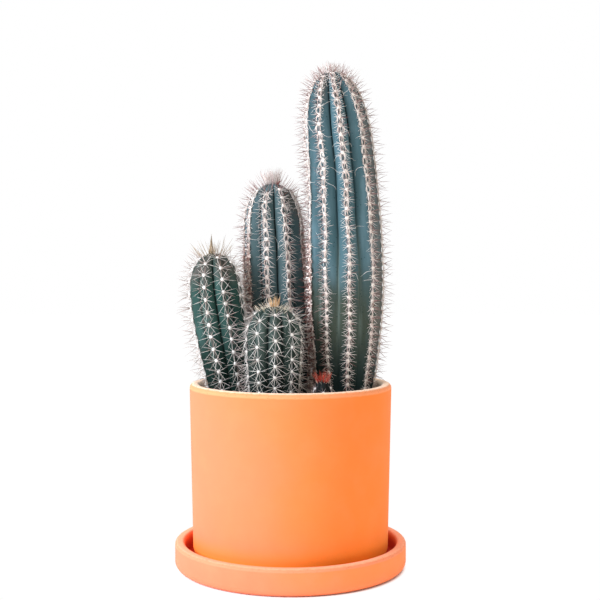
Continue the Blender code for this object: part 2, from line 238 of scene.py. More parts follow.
@dataclass
class Stem:
    """A ribbed stem, whose stations are points of its middle line, each with the crests' radius there.

    ribs are the crests' angles in degrees, furrow is a furrow's radius as a share of a crest's, and
    shallow is how far that is made up for on the lower stem. anchor is the height of one areole, step
    the distance to the next and notch the dent between them. crowding is the height below which they
    stand closer, and by what share. pad holds a wool pad's half sizes in millimetres. looks are the
    finishes of its wool, spines and tufts. braid holds the number of hairs between two areoles, how
    wide they spread above and below a height in millimetres, and that height; curls counts the loose
    hairs. The ribs listed as aged bear aged spines; they face the other stems, and their browner
    spines also stand in for painted shade there. Weathered sides run from one angle to another above
    a height.
    """

    name: str
    slot: str
    ribs: tuple
    furrow: float
    stations: tuple
    crown_height: float
    anchor: float
    step: float
    notch: float
    pad: tuple
    coats: tuple
    tufts: tuple
    looks: tuple
    shallow: float = 0.0
    braid: tuple = ()
    curls: int = 0
    aged_shaded_ribs: tuple = ()
    crowding: tuple = (0.168, 0.28)
    weathered: tuple = ()

    def __post_init__(self):
        self.line = smooth_line(np.array(self.stations), 24)
        steps = np.linalg.norm(np.diff(self.line[:, :3], axis=0), axis=1)
        self.along = np.concatenate(([0], np.cumsum(steps)))
        self.length = self.along[-1]
        self.crown_start = self.length - self.crown_height
        self.growth = unit(np.gradient(self.line[:, :3], self.along, axis=0))
        self.soil_line = float(np.interp(SOIL_TOP, self.line[:, 2], self.along))
        self.waver = np.random.default_rng(len(self.name)).uniform(0, 2 * math.pi, len(self.ribs))

    def read(self, s, rows):
        return np.stack([np.interp(s, self.along, column) for column in rows.T], -1)

    def crest(self, s):
        """Crest radius at s: the column's, closed by a dome at the crown and a round at the foot."""
        u = part_way(s, self.crown_start, self.crown_height)
        foot = part_way(s, FOOT_ROUND, -FOOT_ROUND)
        radius = np.interp(s, self.along, self.line[:, 3])
        return radius * (1 - u**CROWN_POWER) ** (1 / CROWN_POWER) * np.sqrt(1 - foot**2)

    def rib_angle(self, rib, s):
        """Angle of a rib's crest at s, from the front towards +X; the ribs waver a little."""
        number = rib % len(self.ribs)
        turns = rib // len(self.ribs)
        angle = np.take(self.ribs, number) + 360 * turns
        waver = RIB_WAVER * np.sin(s / RIB_WAVE * 2 * math.pi + self.waver[number])
        return np.radians(angle + waver)

    def axes(self, s, angle):
        """Middle point at s with the directions of growth, outward and round the stem at an angle."""
        centre = self.read(s, self.line[:, :3])
        growth = unit(self.read(s, self.growth))
        right = unit(np.array((1.0, 0, 0)) - growth * growth[..., :1])
        front = unit(np.cross(right, growth))
        sine, cosine = np.sin(angle)[..., None], np.cos(angle)[..., None]
        return centre, growth, right * sine + front * cosine, right * cosine - front * sine

    def spacing(self, s):
        """Distance from one areole to the next at s; they crowd at the crown and at the foot."""
        height = np.interp(s, self.along, self.line[:, 2])
        crown = self.crest(s) / np.interp(s, self.along, self.line[:, 3])
        foot = part_way(height, self.crowding[0], -CROWDING_FADE)
        return self.step * (0.30 + 0.70 * crown) * (1 - self.crowding[1] * foot)

    def walk(self, s, way):
        """Areole distances on one side of s, upward or downward."""
        places = []
        while self.soil_line < s + way * self.spacing(s) < self.length - CROWN_MARGIN:
            s += way * self.spacing(s)
            places.append(s)
        return places

    def levels(self):
        """Distances from the foot of the areoles on an even rib."""
        start = float(np.interp(self.anchor, self.line[:, 2], self.along))
        return np.array(self.walk(start, -1)[::-1] + [start] + self.walk(start, 1))


def unit(vectors):
    return vectors / np.maximum(np.linalg.norm(vectors, axis=-1, keepdims=True), 1e-12)


def part_way(value, start, reach):
    """How far a value has gone along a reach: 0 before its start and 1 past its end."""
    return np.clip((value - start) / reach, 0, 1)


def smooth_line(rows, per_station):
    """Points of a smooth curve through the stations, closely spaced."""
    last = len(rows) - 1
    t = np.linspace(0, last, last * per_station + 1)
    i = np.minimum(t.astype(int), last - 1)
    f = (t - i)[:, None]
    p = [rows[np.clip(i + k, 0, last)] for k in (-1, 0, 1, 2)]
    return 0.5 * (p[0] * (-f + 2 * f**2 - f**3) + p[1] * (2 - 5 * f**2 + 3 * f**3)
                  + p[2] * (f + 4 * f**2 - 3 * f**3) + p[3] * (f**3 - f**2))


DENSE_COATS = (
    Coat(count=5, arc=(0, 180), lean=(40, 80), length=(2.2, 3.4), thick=0.22, tone=(-0.3, 0.15), spread=0.12),
    Coat(count=3, arc=(20, 165), lean=(8, 42), length=(8.6, 12.0), thick=0.20, tone=(0.6, 0.95), spread=0.2),
    Coat(count=3, arc=(0, 180), lean=(20, 60), length=(4.8, 7.6), thick=0.165, tone=(0.5, 0.85), spread=0.3),
)
THATCH = (
    Coat(count=8, arc=(70, 166), lean=(62, 80), length=(3.2, 6.0), thick=0.66, tone=(-0.3, 0.4), spread=0.5,
         age_shading=-0.1),
    Coat(count=10, arc=(0, 180), lean=(58, 86), length=(2.4, 4.4), thick=0.46, tone=(0.5, 0.6), spread=0.5,
         age_shading=0.5),
    Coat(count=5, arc=(0, 150), lean=(40, 84), length=(4.0, 7.0), thick=0.17, tone=(-0.2, 0.6), spread=0.4,
         age_shading=0.2),
)

TALL = Stem(
    name="stem_tall",
    slot="tall_skin",
    ribs=(-66, -32, 4, 43.5, 87, 128, 168, 208, 251),
    furrow=0.75,
    stations=(
        (0.0402, 0.006, 0.092, 0.0190),
        (0.0410, 0.005, 0.125, 0.0212),
        (0.0417, 0.005, 0.158, 0.0254),
        (0.0421, 0.005, 0.205, 0.0292),
        (0.0413, 0.005, 0.255, 0.0288),
        (0.0387, 0.005, 0.305, 0.0268),
        (0.0345, 0.005, 0.345, 0.0260),
        (0.0310, 0.005, 0.380, 0.0257),
    ),
    crown_height=0.060,
    anchor=0.3078,
    step=0.0070,
    notch=0.0006,
    pad=(1.45, 1.7, 0.85),
    coats=DENSE_COATS + (
        Coat(count=8, arc=(50, 152), lean=(64, 82), length=(4.6, 7.2), thick=0.175, tone=(-0.2, 0.2),
             downward=0.10, spread=0.10),
    ),
    tufts=(
        Tuft(90, 0.0060, (6.5, 9.5), 0.70, 0.15, (0.1, 0.45)),
        Tuft(80, 0.0190, (7.0, 11.5), 1.80, 0.17, (0.25, 0.7)),
    ),
    looks=("wool", "rosy_spine", "rosy_spine"),
    shallow=0.62,
    braid=(14, 2.9, 1.1, 0.262),
    curls=130,
    aged_shaded_ribs=(-66, 251),
    crowding=(0.245, 0.14),
    weathered=((52, 118, 0.0), (300, 350, 0.350)),
)

MIDDLE = Stem(
    name="stem_middle",
    slot="middle_skin",
    ribs=(-56, -15, 24, 65, 107, 148, 187, 226, 265),
    furrow=0.74,
    stations=(
        (-0.0086, 0.0285, 0.092, 0.0192),
        (-0.0076, 0.0282, 0.130, 0.0236),
        (-0.0092, 0.0280, 0.175, 0.0250),
        (-0.0117, 0.0280, 0.225, 0.0248),
        (-0.0134, 0.0280, 0.262, 0.0235),
        (-0.0146, 0.0280, 0.295, 0.0226),
    ),
    crown_height=0.036,
    anchor=0.2544,
    step=0.0073,
    notch=0.0006,
    pad=(1.6, 1.65, 0.9),
    coats=DENSE_COATS + (
        Coat(count=8, arc=(50, 156), lean=(62, 82), length=(6.0, 9.4), thick=0.18, tone=(-0.2, 0.12),
             downward=0.20, spread=0.10),
    ),
    tufts=(
        Tuft(170, 0.0050, (8.5, 14.4), 0.44, 0.155, (0.0, 0.38)),
        Tuft(80, 0.0160, (8.0, 12.5), 1.60, 0.17, (0.4, 0.7)),
    ),
    looks=("wool", "rosy_spine", "rosy_spine"),
    braid=(14, 2.7, 1.2, 0.200),
    curls=150,
    aged_shaded_ribs=(-56, 65, 265),
    crowding=(0.200, 0.0),
    weathered=((34, 110, 0.262), (296, 340, 0.282)),
)

LEFT = Stem(
    name="stem_left",
    slot="left_skin",
    ribs=(-70, -20, 21, 65, 110, 155, 200, 245),
    furrow=0.74,
    stations=(
        (-0.0415, 0.001, 0.094, 0.0130),
        (-0.0445, 0.000, 0.128, 0.0170),
        (-0.0484, 0.000, 0.155, 0.0200),
        (-0.0534, 0.000, 0.182, 0.0212),
        (-0.0574, 0.000, 0.208, 0.0210),
        (-0.0599, 0.000, 0.2392, 0.0202),
    ),
    crown_height=0.030,
    anchor=0.2096,
    step=0.0093,
    notch=0.0012,
    pad=(1.4, 1.5, 1.0),
    weathered=((0, 360, 0.212),),
    coats=(
        Coat(count=9, arc=(14, 176), lean=(62, 82), length=(7.8, 11.2), thick=0.18, tone=(0.05, 0.3),
             downward=0.15),
        Coat(count=5, arc=(0, 180), lean=(6, 48), length=(9.5, 14.0), thick=0.185, tone=(0.45, 0.8)),
    ),
    tufts=(
        Tuft(44, 0.0100, (9.0, 15.5), 1.05, 0.19, (0.4, 0.8)),
        Tuft(70, 0.0075, (1.8, 3.4), 1.5, 0.17, (0.0, 0.15)),
    ),
    looks=("white_wool", "pale_spine", "olive_bristle"),
)

FRONT = Stem(
    name="stem_front",
    slot="front_skin",
    ribs=(-78, -35, 4, 42, 82, 122, 162, 202, 242),
    furrow=0.74,
    stations=(
        (-0.0120, -0.030, 0.094, 0.0150),
        (-0.0122, -0.030, 0.122, 0.0172),
        (-0.0124, -0.030, 0.148, 0.0192),
        (-0.0125, -0.030, 0.172, 0.0204),
        (-0.0120, -0.030, 0.1995, 0.0202),
    ),
    crown_height=0.024,
    anchor=0.1754,
    step=0.0094,
    notch=0.0009,
    pad=(1.10, 1.15, 0.9),
    coats=(
        Coat(count=9, arc=(16, 178), lean=(64, 84), length=(7.4, 10.6), thick=0.155, tone=(0.0, 0.2),
             downward=0.30),
        Coat(count=4, arc=(50, 180), lean=(14, 50), length=(9.0, 12.5), thick=0.175, tone=(0.1, 0.45)),
    ),
    tufts=(
        Tuft(52, 0.0028, (4.0, 10.8), 0.36, 0.15, (0.15, 0.95)),
        Tuft(64, 0.0120, (4.5, 7.5), 1.9, 0.125, (-0.2, 0.3)),
        Tuft(80, 0.0085, (1.2, 2.4), 1.6, 0.17, (0.0, 0.1)),
    ),
    looks=("white_wool", "pale_spine", "amber_bristle"),
)

PUP = Stem(
    name="pup",
    slot="pup_skin",
    ribs=(-56, 4, 64, 124, 184, 244),
    furrow=0.80,
    stations=(
        (0.0235, -0.042, 0.104, 0.0050),
        (0.0235, -0.042, 0.124, 0.0064),
        (0.0235, -0.042, 0.146, 0.0070),
    ),
    crown_height=0.010,
    anchor=0.1405,
    step=0.0078,
    notch=0.0003,
    pad=(0.85, 0.85, 0.6),
    coats=(
        Coat(count=8, arc=(4, 176), lean=(50, 78), length=(2.8, 4.6), thick=0.14, tone=(0.1, 0.6)),
    ),
    tufts=(
        Tuft(46, 0.0042, (4.6, 9.6), 0.62, 0.17, (0.35, 1.0)),
        Tuft(36, 0.0044, (1.0, 2.0), 1.4, 0.13, (0.0, 0.05)),
    ),
    looks=("white_wool", "rosy_spine", "red_bristle"),
)

STEMS = (TALL, MIDDLE, LEFT, FRONT, PUP)


SKIN_INPUTS = ("Crown", "Foot", "Furrow", "Bloom", "Crest", "Scar", "Dots", "Streak", "Foot Height",
               "Bloom Share", "Furrow Width", "Furrow Fade")
# Furrow is the colour of the painted shade in the furrows and near the soil, and of the dark specks on the
# flanks.
SKINS = {
    "stem_tall": ((0.053, 0.113, 0.131), (0.041, 0.053, 0.038), (0.006, 0.020, 0.022),
                  (0.160, 0.265, 0.315), (0.110, 0.105, 0.097), (0.120, 0.160, 0.138),
                  0.08, 0.9, 0.217, 0.34, 0.18, 0.315),
    "stem_middle": ((0.060, 0.103, 0.109), (0.036, 0.056, 0.051), (0.004, 0.014, 0.016),
                    (0.130, 0.215, 0.255), (0.100, 0.088, 0.078), (0.09, 0.12, 0.11),
                    0.08, 0.2, 0.190, 0.32, 0.16, 0.0),
    "stem_left": ((0.014, 0.051, 0.042), (0.007, 0.021, 0.016), (0.001, 0.016, 0.012),
                  (0.066, 0.150, 0.134), (0.080, 0.070, 0.060), (0.06, 0.08, 0.07),
                  0.12, 0.1, 0.166, 0.36, 0.22, 0.0),
    "stem_front": ((0.020, 0.038, 0.031), (0.008, 0.015, 0.012), (0.001, 0.010, 0.008),
                   (0.120, 0.158, 0.140), (0.085, 0.100, 0.092), (0.07, 0.09, 0.08),
                   0.45, 0.1, 0.142, 0.34, 0.40, 0.0),
    "pup": ((0.010, 0.016, 0.015), (0.006, 0.010, 0.009), (0.001, 0.003, 0.003),
            (0.040, 0.052, 0.052), (0.030, 0.038, 0.036), (0.03, 0.04, 0.04),
            0.2, 0.1, 0.125, 0.25, 0.3, 0.0),
}

CLAY_SHADER = {"bump": 0.35, "Specular_IOR_Level": 0.2, "Sheen_Weight": 0.02, "Sheen_Roughness": 0.5}
SKIN_SHADER = {"bump": 0.4, "Specular_IOR_Level": 0.2}
FIBRE_ROUGHNESS = 0.62

FIBRE_INPUTS = ("Pale", "Deep", "Old", "Tip", "Tip Share")
FIBRES = {
    "white_wool": ((0.94, 0.93, 0.90), (0.60, 0.50, 0.44), (0.30, 0.16, 0.11), (0.60, 0.54, 0.48), 0.3),
    "wool": ((0.92, 0.86, 0.80), (0.48, 0.33, 0.27), (0.24, 0.09, 0.06), (0.50, 0.40, 0.34), 0.3),
    "rosy_spine": ((0.92, 0.84, 0.78), (0.38, 0.25, 0.235), (0.16, 0.030, 0.020), (0.30, 0.17, 0.16), 0.6),
    # A paler copy of the rosy spines' colours: painted light on the shaggy spines low on the aged ribs, which
    # the other stems shade.
    "lit_thatch": ((1.0, 0.90, 0.82), (0.60, 0.36, 0.30), (0.15, 0.030, 0.018), (0.50, 0.30, 0.24), 0.5),
    "pale_spine": ((0.92, 0.88, 0.82), (0.38, 0.28, 0.25), (0.22, 0.12, 0.08), (0.32, 0.20, 0.17), 0.6),
    "amber_bristle": ((0.90, 0.82, 0.66), (0.74, 0.44, 0.19), (0.52, 0.21, 0.06), (0.84, 0.60, 0.36), 0.7),
    "olive_bristle": ((0.80, 0.73, 0.64), (0.34, 0.25, 0.15), (0.20, 0.13, 0.06), (0.24, 0.16, 0.11), 0.5),
    "red_bristle": ((0.80, 0.66, 0.52), (0.60, 0.050, 0.015), (0.36, 0.002, 0.002), (0.60, 0.14, 0.05), 0.6),
}


def add_object(name, mesh, material=None):
    piece = bpy.data.objects.new(name, mesh)
    bpy.context.scene.collection.objects.link(piece)
    if material:
        mesh.materials.append(material)
    return piece


def add_mesh(name, points, faces, material, values, chart):
    """A smooth triangle mesh; values holds numbers for its points, and chart a flat place for each corner."""
    mesh = bpy.data.meshes.new(name)
    mesh.vertices.add(len(points))
    mesh.vertices.foreach_set("co", points.astype(np.float32).ravel())
    mesh.loops.add(faces.size)
    mesh.loops.foreach_set("vertex_index", faces.astype(np.int32).ravel())
    mesh.polygons.add(len(faces))
    mesh.polygons.foreach_set("loop_start", np.arange(0, faces.size, 3, dtype=np.int32))
    mesh.update(calc_edges=True)
    mesh.shade_smooth()
    for key, numbers in values.items():
        layer = mesh.attributes.new(key, "FLOAT", "POINT")
        layer.data.foreach_set("value", np.asarray(numbers, np.float32).ravel())
    layer = mesh.uv_layers.new(name="OFBake")
    layer.uv.foreach_set("vector", chart.astype(np.float32).ravel())
    return add_object(name, mesh, material)


def arc(radius, height, bend, start, end, steps=10):
    """Points of an arc about (radius, height), between two angles in degrees from outward to up."""
    angles = [math.radians(start + (end - start) * i / steps) for i in range(steps + 1)]
    return [(radius + bend * math.cos(a), height + bend * math.sin(a)) for a in angles]


def turned(name, profile, closed, steps, material):
    """Turn a profile of (radius, height) points about Z; it runs down the piece's outer side."""
    edges = [(i, i + 1) for i in range(len(profile) - 1)]
    if closed:
        edges.append((len(profile) - 1, 0))
    mesh = bpy.data.meshes.new(name)
    mesh.from_pydata([(r, 0, z) for r, z in profile], edges, [])
    piece = add_object(name, mesh, material)
    screw = piece.modifiers.new("Turn", "SCREW")
    screw.steps = steps
    screw.render_steps = steps
    screw.use_merge_vertices = True
    screw.merge_threshold = 0.00002
    screw.use_smooth_shade = True
    return piece


def frozen(piece):
    """Replace a piece's mesh by its evaluated mesh."""
    graph = bpy.context.evaluated_depsgraph_get()
    mesh = bpy.data.meshes.new_from_object(piece.evaluated_get(graph), depsgraph=graph)
    piece.modifiers.clear()
    piece.data = mesh
    return piece


def copies(faces, points, number):
    """Faces of many like meshes in one, each mesh with so many points."""
    return (faces + points * np.arange(number)[:, None, None]).reshape(-1, 3)


def halved(a, b, c, d):
    """Two triangles for each four-sided cell of a grid, from what lies at the cell's corners."""
    halves = [np.stack(corners, 2) for corners in ((a, b, c), (a, c, d))]
    return np.concatenate([half.reshape(-1, *half.shape[2:]) for half in halves])


def band_faces(rings, around):
    """Triangles between rings of so many points each, numbered ring by ring."""
    low = np.arange((rings - 1) * around).reshape(-1, around)
    after = np.roll(low, -1, 1)
    return halved(low, after, after + around, low + around)


def put(tree, kind, values=None, **settings):
    """Add a shader node; a value that is a socket is linked, and any other is set."""
    node = tree.nodes.new("ShaderNode" + kind)
    for key, value in settings.items():
        setattr(node, key, value)
    for key, value in (values or {}).items():
        if isinstance(value, bpy.types.NodeSocket):
            tree.links.new(value, node.inputs[key])
        else:
            node.inputs[key].default_value = value
    return node


def object_place(tree):
    return put(tree, "TexCoord").outputs["Object"]


def attribute(tree, name):
    return put(tree, "Attribute", attribute_name=name).outputs["Fac"]


def math_of(tree, operation, *values):
    return put(tree, "Math", dict(enumerate(values)), operation=operation).outputs[0]


def times(tree, a, b):
    return math_of(tree, "MULTIPLY", a, b)


def plus(tree, a, b):
    return math_of(tree, "ADD", a, b)


def minus(tree, a, b):
    return math_of(tree, "SUBTRACT", a, b)


def ramp(tree, value, low, high, out_low=0.0, out_high=1.0):
    """A value spread smoothly from one range to another."""
    settings = {"Value": value, "From Min": low, "From Max": high, "To Min": out_low, "To Max": out_high}
    return put(tree, "MapRange", settings, interpolation_type="SMOOTHSTEP").outputs["Result"]


def mixed(tree, share, a, b):
    """Two colours mixed by a share."""
    return put(tree, "Mix", {0: share, 6: a, 7: b}, data_type="RGBA").outputs[2]


def grain(tree, place, scale, detail=3.0, stretch=(1, 1, 1)):
    """Noise at a scale given in waves per metre, drawn out along an axis by a small stretch."""
    spot = put(tree, "Mapping", {"Vector": place, "Scale": stretch}).outputs[0]
    return put(tree, "TexNoise", {"Vector": spot, "Scale": scale, "Detail": detail}).outputs["Fac"]


def cells(tree, place, scale):
    """Distance from the middle of the nearest cell."""
    return put(tree, "TexVoronoi", {"Vector": place, "Scale": scale}).outputs["Distance"]


def new_group(name, inputs):
    """A shader node group with named inputs, each with its default, and the sockets that bring them in."""
    group = bpy.data.node_groups.new(name, "ShaderNodeTree")
    for key, default in inputs.items():
        kind = "NodeSocketColor" if isinstance(default, tuple) else "NodeSocketFloat"
        group.interface.new_socket(key, in_out="INPUT", socket_type=kind).default_value = default
    return group, group.nodes.new("NodeGroupInput").outputs


def give_out(group, **values):
    """Make a named output of the group for each value."""
    for key in values:
        kind = "NodeSocketColor" if key == "Color" else "NodeSocketFloat"
        group.interface.new_socket(key, in_out="OUTPUT", socket_type=kind)
    leaving = group.nodes.new("NodeGroupOutput")
    for key, value in values.items():
        group.links.new(value, leaving.inputs[key])
    return group


def clay_group():
    """Unglazed terracotta: cloudy colour, pale dust, specks, pores, grain and turning marks, with painted
    light and shade: a more saturated right side, a glow at the foot, a lit inner wall in the pot and a shaded
    channel in the saucer, darkened pits, and a pale lip and top lit from above.
    """
    group, given = new_group("terracotta", {
        "Body": (0.8, 0.3, 0.1, 1), "Flush And Shade": (0.8, 0.2, 0.05, 1), "Pale": (0.9, 0.6, 0.4, 1),
        "Inner": (0.5, 0.1, 0.05, 1), "Foot Glow": (0.9, 0.15, 0.02, 1), "Top": (0.9, 0.7, 0.5, 1),
        "Lip Height": 0.14, "Lip Depth": 0.004, "Bore": 0.07, "Bloom From": 0.0004, "Bloom To": 0.003,
        "Foot Glow Height": 0.02, "Dust": 0.4,
    })
    place = object_place(group)
    across, _, height = put(group, "SeparateXYZ", {0: place}).outputs
    level = put(group, "VectorMath", {0: place, 1: (1, 1, 0)}, operation="MULTIPLY").outputs[0]
    radius = put(group, "VectorMath", {0: level}, operation="LENGTH").outputs["Value"]
    below = minus(group, given["Lip Height"], height)

    # Body: painted shade, warmer and more saturated towards the right as on a side turned from the light,
    # mixed with random clouds; dusty in patches; and a painted glow at its foot.
    clouds = grain(group, place, 14, 4)
    side = math_of(group, "MULTIPLY_ADD", across, 6.5, 0.28)
    side = plus(group, side, times(group, clouds, 0.45))
    colour = mixed(group, ramp(group, side, 0.05, 0.95), given["Body"], given["Flush And Shade"])
    dust = ramp(group, grain(group, place, 60, 6), 0.36, 0.80)
    colour = mixed(group, times(group, dust, given["Dust"]), colour, given["Pale"])
    # Painted reflected light: the foot is painted a brighter, more saturated orange, as if lit by light
    # thrown up from the saucer.
    foot_glow = minus(group, height, given["Foot Glow Height"])
    colour = mixed(group, ramp(group, foot_glow, -0.010, 0.012, 0.85, 0.0), colour, given["Foot Glow"])

    # Painted light on the pot's inner wall and painted shade in the saucer's channel; a pale lip and a paler
    # flat top, both painted as light from above.
    # Inner paints the inner wall below the rim: a pale colour that stands for bright light in the pot, a dark
    # red that stands for shade in the saucer.
    within = plus(group, given["Bore"], ramp(group, below, 0.003, 0.006, 0.003, 0.0))
    inner = ramp(group, minus(group, radius, within), -0.0002, 0.0008, 1.0, 0.0)
    inner_shading = ramp(group, below, given["Bloom From"], given["Bloom To"], 0.0, 0.95)
    inner = times(group, inner, inner_shading)
    colour = mixed(group, inner, colour, given["Inner"])
    # Painted light: the lip is painted pale, as light falling on the rim from above.
    lip = math_of(group, "DIVIDE", below, given["Lip Depth"])
    lip = plus(group, lip, times(group, grain(group, place, 240), 0.3))
    lip = times(group, ramp(group, lip, 0.95, 1.30, 1.0, 0.0), minus(group, 1, inner))
    colour = mixed(group, times(group, lip, 0.8), colour, given["Pale"])
    # Painted light: the flat top of the rim is painted paler still, as if lit from above.
    flat_top = plus(group, below, times(group, grain(group, place, 320), 0.0010))
    colour = mixed(group, ramp(group, flat_top, 0.0005, 0.0015, 0.9, 0.0), colour, given["Top"])

    # Dark specks, most of them on the lip, and rare pits darkened with painted shade.
    specks = ramp(group, grain(group, place, 850, 2), 0.58, 0.68)
    specks = times(group, specks, ramp(group, lip, 0, 1, 0.16, 0.85))
    dark = mixed(group, 0.55, colour, (0.45, 0.16, 0.06, 1))
    colour = mixed(group, specks, colour, dark)
    pits = ramp(group, cells(group, place, 360), 0.05, 0.16, 1.0, 0.0)
    pits = times(group, pits, ramp(group, grain(group, place, 210, 1), 0.52, 0.62))
    colour = mixed(group, times(group, pits, 0.5), colour, dark)

    rise = times(group, grain(group, place, 9, 2, (1, 1, 42)), 0.5)
    rise = plus(group, rise, times(group, grain(group, place, 1500, 4), 0.28))
    rise = minus(group, rise, times(group, pits, 0.8))
    return give_out(group, Color=colour, Roughness=ramp(group, clouds, 0.3, 0.7, 0.74, 0.88), Height=rise)


def skin_group():
    """Waxy ribbed skin: a bluish crown and a corky foot, crests, waxy patches, streaks and dots, and painted
    shade that darkens the furrows and the foot near the soil.
    """
    group, given = new_group("rib_skin", {
        "Crown": (0.1, 0.2, 0.25, 1), "Foot": (0.07, 0.1, 0.08, 1), "Furrow": (0.02, 0.05, 0.06, 1),
        "Bloom": (0.3, 0.4, 0.5, 1), "Crest": (0.06, 0.05, 0.04, 1), "Scar": (0.1, 0.13, 0.11, 1),
        "Foot Height": 0.2, "Bloom Share": 0.5, "Dots": 0.3, "Streak": 0.4, "Furrow Width": 0.2,
        "Furrow Fade": 0.0,
    })
    place = object_place(group)
    height = put(group, "SeparateXYZ", {0: place}).outputs[2]
    rib = attribute(group, "rib")

    # Crown over foot, with waxy patches and dots.
    drift = math_of(group, "MULTIPLY_ADD", grain(group, place, 55, 4, (1, 1, 0.35)), 0.06, -0.03)
    level = plus(group, minus(group, height, given["Foot Height"]), drift)
    upper = ramp(group, level, -0.022, 0.020)
    colour = mixed(group, upper, given["Foot"], given["Crown"])
    patches = ramp(group, grain(group, place, 120, 5, (1, 1, 0.22)), 0.42, 0.68)
    patches = times(group, patches, ramp(group, rib, 0.55, 1.0, 1.0, 0.15))
    patches = times(group, patches, ramp(group, upper, 0, 1, 0.25, 1.0))
    colour = mixed(group, times(group, patches, given["Bloom Share"]), colour, given["Bloom"])
    dots = ramp(group, grain(group, place, 1500, 1), 0.58, 0.70)
    colour = mixed(group, times(group, dots, given["Dots"]), colour, given["Bloom"])

    # Painted shade that darkens the furrows, with a darker line at their bottom, and pale streaks beside them
    # on the lower stem.
    lower = ramp(group, minus(group, level, 0.035), -0.035, 0.025, 1.0, 0.0)
    lower = times(group, lower, given["Streak"])
    edge = minus(group, 1.0, given["Furrow Width"])
    deep = math_of(group, "DIVIDE", minus(group, rib, edge), given["Furrow Width"])
    deep = times(group, ramp(group, deep, 0, 1, 0, 0.95), minus(group, 1.0, lower))
    fade = minus(group, height, given["Furrow Fade"])
    deep = times(group, deep, ramp(group, fade, -0.03, 0.03, 0.55, 1.0))
    colour = mixed(group, deep, colour, given["Furrow"])
    line = times(group, ramp(group, rib, 0.90, 0.985), ramp(group, fade, 0.005, 0.030, 0.0, 0.9))
    colour = mixed(group, line, colour, (0.001, 0.004, 0.005, 1))
    broken = ramp(group, grain(group, place, 260, 3, (1, 1, 0.10)), 0.34, 0.60, 0.3, 0.85)
    streak = times(group, ramp(group, rib, 0.72, 0.98), broken)
    streak = times(group, streak, ramp(group, height, 0.145, 0.200))
    colour = mixed(group, times(group, streak, lower), colour, given["Scar"])

    # Dark specks on the flanks, worn crests, weathered sides, and painted shade that darkens the foot close
    # to the soil.
    specks = ramp(group, cells(group, place, 330), 0.07, 0.20, 0.75, 0.0)
    specks = times(group, specks, ramp(group, rib, 0.45, 0.7))
    colour = mixed(group, specks, colour, given["Furrow"])
    crest = plus(group, rib, times(group, grain(group, place, 600), 0.1))
    crest = ramp(group, crest, 0.10, 0.30, 0.8, 0.0)
    crest = times(group, crest, ramp(group, grain(group, place, 420, 2), 0.36, 0.60, 0.3, 1.0))
    colour = mixed(group, crest, colour, given["Crest"])
    weather = ramp(group, grain(group, place, 300, 4), 0.30, 0.60, 0.35, 0.85)
    weather = times(group, attribute(group, "weather"), weather)
    colour = mixed(group, weather, colour, given["Crest"])
    # Painted shade: the skin turns dark close to the soil, where the stems shade each other.
    near_soil = ramp(group, height, SOIL_TOP + 0.012, SOIL_TOP + 0.066, 0.9, 0.0)
    colour = mixed(group, near_soil, colour, given["Furrow"])

    rough = ramp(group, grain(group, place, 260), 0.3, 0.7, 0.54, 0.70)
    rough = plus(group, rough, ramp(group, upper, 0, 1, 0.28, 0))
    wrinkles = times(group, grain(group, place, 60, 3, (1, 1, 9)), ramp(group, upper, 0, 1, 0.9, 0.25))
    rise = plus(group, times(group, grain(group, place, 900, 4), 0.35), wrinkles)
    return give_out(group, Color=colour, Roughness=rough, Height=rise)


def fibre_group():
    """Colour of wool, spines and hairs by each strand's own tone and the distance along it."""
    group, given = new_group("fibre_tint", {
        "Pale": (0.8, 0.75, 0.7, 1), "Deep": (0.4, 0.25, 0.22, 1), "Old": (0.2, 0.06, 0.04, 1),
        "Tip": (0.25, 0.12, 0.1, 1), "Tip Share": 0.5,
    })
    tone = attribute(group, "tone")
    colour = mixed(group, ramp(group, tone, 0, 0.6), given["Pale"], given["Deep"])
    colour = mixed(group, ramp(group, tone, 0.6, 1), colour, given["Old"])
    tip = times(group, ramp(group, attribute(group, "along"), 0.45, 1.0), given["Tip Share"])
    return give_out(group, Color=mixed(group, times(group, tip, tone), colour, given["Tip"]))


def grit_group():
    """Soil and grit: a colour for each grain by its tone, with fine noise."""
    group, given = new_group("grit", {
        "Dark": (0.02, 0.014, 0.01, 1), "Brown": (0.08, 0.05, 0.03, 1), "Stone": (0.35, 0.3, 0.25, 1),
    })
    place = object_place(group)
    fine = grain(group, place, 700, 5)
    colour = mixed(group, ramp(group, fine, 0.35, 0.65), given["Dark"], given["Brown"])
    colour = mixed(group, ramp(group, attribute(group, "tone"), 0.80, 0.95), colour, given["Stone"])
    shade = ramp(group, grain(group, place, 1800, 2), 0.5, 0.7, 0, 0.4)
    colour = mixed(group, shade, colour, given["Dark"])
    return give_out(group, Color=colour, Roughness=ramp(group, fine, 0.3, 0.7, 0.8, 0.98), Height=fine)


GROUP_MAKERS = {
    "terracotta": clay_group,
    "rib_skin": skin_group,
    "fibre_tint": fibre_group,
    "grit": grit_group,
}


